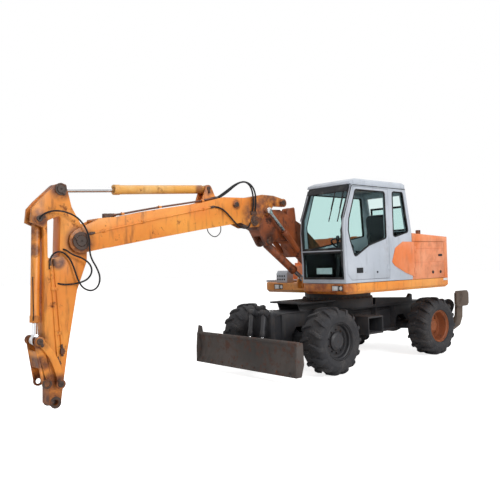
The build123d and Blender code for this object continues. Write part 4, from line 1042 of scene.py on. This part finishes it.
CLAMPS = [
    # body, place (x, y, z), run of the pipes, way out, half span, height
    ("boom_outer", (3142, 116, 2762), (0.97, 0, -0.24), (0.24, 0, 0.97), 46, 34),
    ("boom_outer", (3900, 116, 2636), (0.985, 0, -0.17), (0.17, 0, 0.985), 46, 34),
    ("boom_outer", (4500, 116, 2520), (0.98, 0, -0.2), (0.2, 0, 0.98), 46, 34),
    ("boom_outer", (3142, 160, 2651), (0.98, 0, -0.2), (0, 1, 0), 22, 24),
    ("boom_outer", (4203, 160, 2431), (0.98, 0, -0.2), (0, 1, 0), 22, 24),
    ("boom_outer", (4800, 160, 2298), (0.98, 0, -0.2), (0, 1, 0), 22, 24),
    ("arm", (5478, 115, 1560), (0.06, 0, -1), (0, 1, 0), 48, 24),
    ("arm", (5440, 115, 1000), (0.05, 0, -1), (0, 1, 0), 48, 24),
]


def make_pipes():
    """Steel pipes clipped along the boom and arm, with their unions, clamps, end valves and manifolds."""
    for name, body, radius, finish, route in PIPES:
        pipe = bmesh.new()
        add_tube(pipe, smooth_route(route), radius, segments=12)
        shape_object(name, pipe, finish, body, smooth=50)
        unions = bmesh.new()
        for end, inward in (route[:2], route[:-3:-1]):
            end = at(*end)
            run = (at(*inward) - end).normalized()
            for start, stop, share, segments in ((-0.012, 0.034, 1.8, 6), (0.034, 0.054, 1.45, 16),
                                                 (-0.030, -0.012, 1.3, 16)):
                add_bar(unions, end + run * start, end + run * stop, radius * share, segments=segments)
        shape_object(f"{name}_unions", unions, "pin_steel", body, smooth=50)
    for body, rows in by_body(CLAMPS):
        clamps = bmesh.new()
        for place, along, out, span, height in rows:
            add_clamp(clamps, at(*place), Vector(along).normalized(), Vector(out).normalized(), span, height)
        shape_object(f"clamps_{body}", clamps, "boom_orange", body, bevel=2)
    valves = bmesh.new()
    for x, z in ((5454, 615), (5398, 765)):
        add_box(valves, (x - 26, x + 26), (114, 152), (z - 34, z + 34))
        add_bar(valves, at(x, 134, z - 34), at(x, 134, z - 62), 17, segments=6)
        add_bar(valves, at(x - 40, 134, z), at(x + 26, 134, z), 9, segments=12)
    shape_object("arm_valves", valves, "pin_steel", "arm", bevel=3)
    blocks = bmesh.new()
    add_box(blocks, (2088, 2212), (156, 184), (2592, 2652))
    add_box(blocks, (4700, 4780), (80, 150), (2478, 2534))
    shape_object("boom_manifolds", blocks, "pin_steel", "boom_outer", bevel=4)


CORDS = [
    # name, body, diameter in metres, length in metres, lay, route (x, y, z)
    ("boom_hose_near", "boom_outer", 0.027, 1.20, "loose",
     [(2180, 172, 2640), (2180, 190, 2700), (2178, 200, 2800), (2182, 197, 2935), (2214, 178, 3060),
      (2300, 154, 3126), (2415, 145, 3100), (2520, 139, 3035), (2620, 136, 2960), (2720, 134, 2895),
      (2800, 134, 2852), (2872, 134, 2836)]),
    ("boom_hose_far", "boom_outer", 0.027, 1.28, "loose",
     [(2125, 172, 2640), (2125, 190, 2700), (2124, 200, 2820), (2130, 196, 2950), (2165, 168, 3060),
      (2250, 130, 3125), (2370, 108, 3115), (2500, 100, 3055), (2620, 98, 2975), (2740, 98, 2900),
      (2820, 98, 2850), (2890, 98, 2832)]),
    ("knuckle_hose", "boom_outer", 0.024, 0.88, "loose",
     [(2955, 182, 2690), (2860, 188, 2688), (2740, 190, 2620), (2640, 190, 2530), (2530, 190, 2430),
      (2420, 188, 2372), (2310, 185, 2372), (2240, 178, 2420), (2220, 150, 2470)]),
    ("boom_loop", "boom_outer", 0.014, 0.52, "loose",
     [(3010, 60, 2425), (3020, 66, 2345), (2970, 70, 2270), (2873, 70, 2230), (2790, 70, 2270),
      (2742, 66, 2345), (2750, 60, 2425)]),
    ("arm_hose_outer", "arm", 0.022, 2.6, "loose",
     [(5662, 122, 2415), (5664, 152, 2460), (5566, 172, 2529), (5434, 190, 2549), (5287, 206, 2516),
      (5176, 216, 2452), (5082, 220, 2333), (5030, 220, 2184), (5040, 220, 2062), (5020, 216, 1940),
      (4930, 210, 1800), (4885, 204, 1680), (4915, 200, 1560), (5010, 195, 1505), (5127, 188, 1550),
      (5189, 178, 1663), (5222, 165, 1790), (5270, 156, 1925), (5375, 150, 2035), (5490, 142, 2015),
      (5542, 130, 1915), (5535, 114, 1810)]),
    ("arm_hose_inner", "arm", 0.022, 1.03, "loose",
     [(5350, 108, 2060), (5328, 150, 2050), (5256, 185, 1985), (5119, 192, 1940), (5018, 186, 1864),
      (4985, 180, 1769), (5030, 170, 1677), (5129, 155, 1625), (5282, 142, 1606), (5392, 126, 1612),
      (5430, 108, 1625)]),
    ("bucket_cylinder_hose", "bucket_cylinder_barrel", 0.014, 0.58, "loose",
     [(5725, 52, 1720), (5736, 78, 1665), (5742, 96, 1580), (5744, 100, 1480), (5744, 98, 1350),
      (5738, 84, 1240), (5728, 46, 1175)]),
]


def make_cords():
    """Free hydraulic hoses, each one smooth line that goes back into the machine."""
    for name, body, diameter, length, lay, route in CORDS:
        hose = route_curve(name, route, 12)
        hose.data.bevel_depth = diameter / 2
        hose.data.bevel_resolution = 4
        hose.data.use_fill_caps = True
        hose.data.materials.append(FINISH["rubber"])
        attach(hose, body)


class EXCAVATOR_OT_hoses(Steps, bpy.types.Operator):
    """Make the free hydraulic hoses"""

    bl_idname = "excavator.hoses"
    bl_label = "Hoses"
    steps = (make_cords,)


class EXCAVATOR_OT_boom(Steps, bpy.types.Operator):
    """Make the boom's pins, rings, pipes, clamps and valves"""

    bl_idname = "excavator.boom"
    bl_label = "Boom"
    steps = (make_pins, make_rings, make_pipes)


# ---------- hood, deck and undercarriage
RIB_LEVELS = (1752, 2002)                  # heights of the two pressed ribs along the service door
LAMPS = [
    # front, low y and high y of each box of lamps, and y of the middle of its round lamp
    (1170, 905, 1150, 1098), (960, -690, -450, -502),
]


def make_body_fittings():
    """Ribs and locks of the service door, exhaust's sleeve, lamps' backs and bezels, cover's holes."""
    ribs = bmesh.new()
    for z in RIB_LEVELS:
        add_tube(ribs, [at(-700, 1224, z), at(-1636, 1224, z)], 7, segments=8)
    shape_object("service_door_ribs", ribs, "body_orange", "service_door", smooth=70)
    lock = bmesh.new()
    ring = [(0.5, 0), (30, 0), (30, 4), (26, 7), (20, 7), (18, 4), (0.5, 4)]
    for x in (-1269, -1520):
        add_lathe(lock, ring, at(x, 1225, 1560), segments=32)
    add_box(lock, (-1580, -1460), (1224, 1233), (1850, 1890))
    shape_object("service_door_locks", lock, "plastic_black", "service_door", bevel=2)
    sleeve = bmesh.new()
    add_lathe(sleeve, [(45, 2268), (47, 2270), (47, 2372), (45, 2374), (35, 2374), (35, 2366), (45, 2366)],
              at(-1760, 600, 0), segments=32, axis=UP)
    shape_object("exhaust_sleeve", sleeve, "pipe_steel", "engine_hood")
    backs = bmesh.new()
    for front, low, high, _ in LAMPS:
        add_prism(backs, [(front - 39, 1316), (front - 36, 1316), (front - 34, 1414), (front - 39, 1414)],
                  low + 1, high - 1)
    shape_object("lamp_backs", backs, "rubber", "upper")
    bezels = bmesh.new()
    for front, _, _, middle in LAMPS:
        ring = [(33, 26), (33, 31), (41, 31), (43, 26)]
        add_lathe(bezels, ring, at(front - 40, middle, 1370), segments=40, axis=AHEAD)
    for front, low, _, _ in LAMPS:
        frame_line = [(low + 10, 1331), (low + 132, 1331), (low + 132, 1409), (low + 10, 1409)]
        add_tube(bezels, [at(front - 12, y, z) for y, z in frame_line], 4, closed=True, segments=4)
    shape_object("lamp_bezels", bezels, "plastic_black", "upper")
    # the holes are drawn as black discs on the cover: their black is painted shade inside each hole
    holes = bmesh.new()
    for row in range(2):
        for column in range(4):
            place = at(901, -640 + 58 * column, 1500 + 62 * row)
            add_lathe(holes, [(0.5, -3), (17, -3), (17, 1), (14, 3), (12, 0), (0.5, 0)], place, segments=20,
                      axis=AHEAD)
    shape_object("cover_holes", holes, "rubber", "upper")


def make_bolts(name, body, bolt, count, centre, **spacing):
    """A piece that is a row or ring of one bolt."""
    shape = bmesh.new()
    add_copies(shape, bolt, count, centre, **spacing)
    shape_object(name, shape, "pin_steel", body)


def make_ring_bolts():
    """Bolts round the slewing ring."""
    bolt = bmesh.new()
    start = Vector((0.626, 0, 0))
    add_bar(bolt, start, start + UP * 0.022, 15, segments=6)
    add_bar(bolt, start, start + UP * 0.005, 19)
    make_bolts("slewing_ring_bolts", "chassis", bolt, 36, at(0, 0, 1140), turn=(0, 0, math.tau / 36))


def make_blade_fittings():
    """Bolts of the blade's cutting edge."""
    front = (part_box("blade")[1].x - SLEW_X) * 1000
    bolt = bmesh.new()
    add_bar(bolt, Vector(), AHEAD * 0.010, 17, segments=6)
    make_bolts("blade_edge_bolts", "blade", bolt, 9, at(front - 12, -1080, 175), step=(0, 0.27, 0))


def make_step_treads():
    """Raised studs on the treads of the access steps."""
    for z in (590, 860):
        for side, sign in (("left", 1), ("right", -1)):
            row = bmesh.new()
            for k in range(6):
                foot = Vector((-0.125 + 0.05 * k, 0, 0))
                add_bar(row, foot, foot + UP * 0.007, 9, segments=12, end_radius=6)
            studs = bmesh.new()
            add_copies(studs, row, 9, at(260, sign * 500, z), step=(0, sign * 0.065, 0))
            shape_object(f"step_studs_{side}_{z}", studs, "chassis_black", "chassis")


CHASSIS_LINES = [
    # radius, route (x, y, z)
    (9, [(-1400, 298, 900), (-1200, 298, 900), (-700, 298, 880), (0, 298, 880), (500, 298, 900),
         (900, 298, 940)]),
    (9, [(-1400, 298, 868), (-1200, 298, 868), (-700, 298, 848), (0, 298, 848), (500, 298, 868),
         (900, 298, 905)]),
    (7, [(1180, 330, 960), (1320, 345, 985), (1500, 320, 975), (1690, 262, 960), (1850, 262, 930)]),
]


def make_chassis_lines():
    """Brake and blade pipes clipped along the frame's web."""
    lines = bmesh.new()
    for radius, route in CHASSIS_LINES:
        for sign in (1, -1):
            add_tube(lines, smooth_route([(x, sign * y, z) for x, y, z in route]), radius, segments=8)
    shape_object("chassis_pipes", lines, "rim_black", "chassis", "engine_iron", smooth=60)


class EXCAVATOR_OT_body(Steps, bpy.types.Operator):
    """Make the fittings of the hood, deck and lamps"""

    bl_idname = "excavator.body"
    bl_label = "Hood and deck"
    steps = (make_body_fittings,)


class EXCAVATOR_OT_chassis(Steps, bpy.types.Operator):
    """Make the fittings of the undercarriage and blade"""

    bl_idname = "excavator.chassis"
    bl_label = "Undercarriage"
    steps = (make_ring_bolts, make_blade_fittings, make_step_treads, make_chassis_lines)


class EXCAVATOR_PT_panel(bpy.types.Panel):
    """Lists the steps that dress the machine"""

    bl_idname = "EXCAVATOR_PT_panel"
    bl_label = "Wheeled excavator"
    bl_space_type = "VIEW_3D"
    bl_region_type = "UI"
    bl_category = "Excavator"

    def draw(self, context):
        for group in (context.scene.excavator_looks, context.scene.excavator_light):
            for name in group.__annotations__:
                self.layout.prop(group, name)
        for operator in OPERATORS:
            self.layout.operator(operator.bl_idname)


GROUPS = [MachineLooks, StudioLight]
OPERATORS = [EXCAVATOR_OT_stage, EXCAVATOR_OT_finishes, EXCAVATOR_OT_hoses, EXCAVATOR_OT_wheels,
             EXCAVATOR_OT_cab, EXCAVATOR_OT_boom, EXCAVATOR_OT_body, EXCAVATOR_OT_chassis]


def register():
    for kind in (*GROUPS, *OPERATORS, EXCAVATOR_PT_panel):
        bpy.utils.register_class(kind)
    bpy.types.Scene.excavator_looks = bpy.props.PointerProperty(type=MachineLooks)
    bpy.types.Scene.excavator_light = bpy.props.PointerProperty(type=StudioLight)


def unregister():
    del bpy.types.Scene.excavator_light
    del bpy.types.Scene.excavator_looks
    for kind in reversed((*GROUPS, *OPERATORS, EXCAVATOR_PT_panel)):
        bpy.utils.unregister_class(kind)


def main():
    register()
    bpy.ops.excavator.stage()
    bpy.ops.excavator.finishes()
    bpy.ops.excavator.hoses()
    bpy.ops.excavator.wheels()
    bpy.ops.excavator.cab()
    bpy.ops.excavator.boom()
    bpy.ops.excavator.body()
    bpy.ops.excavator.chassis()


if __name__ == "__main__":
    main()
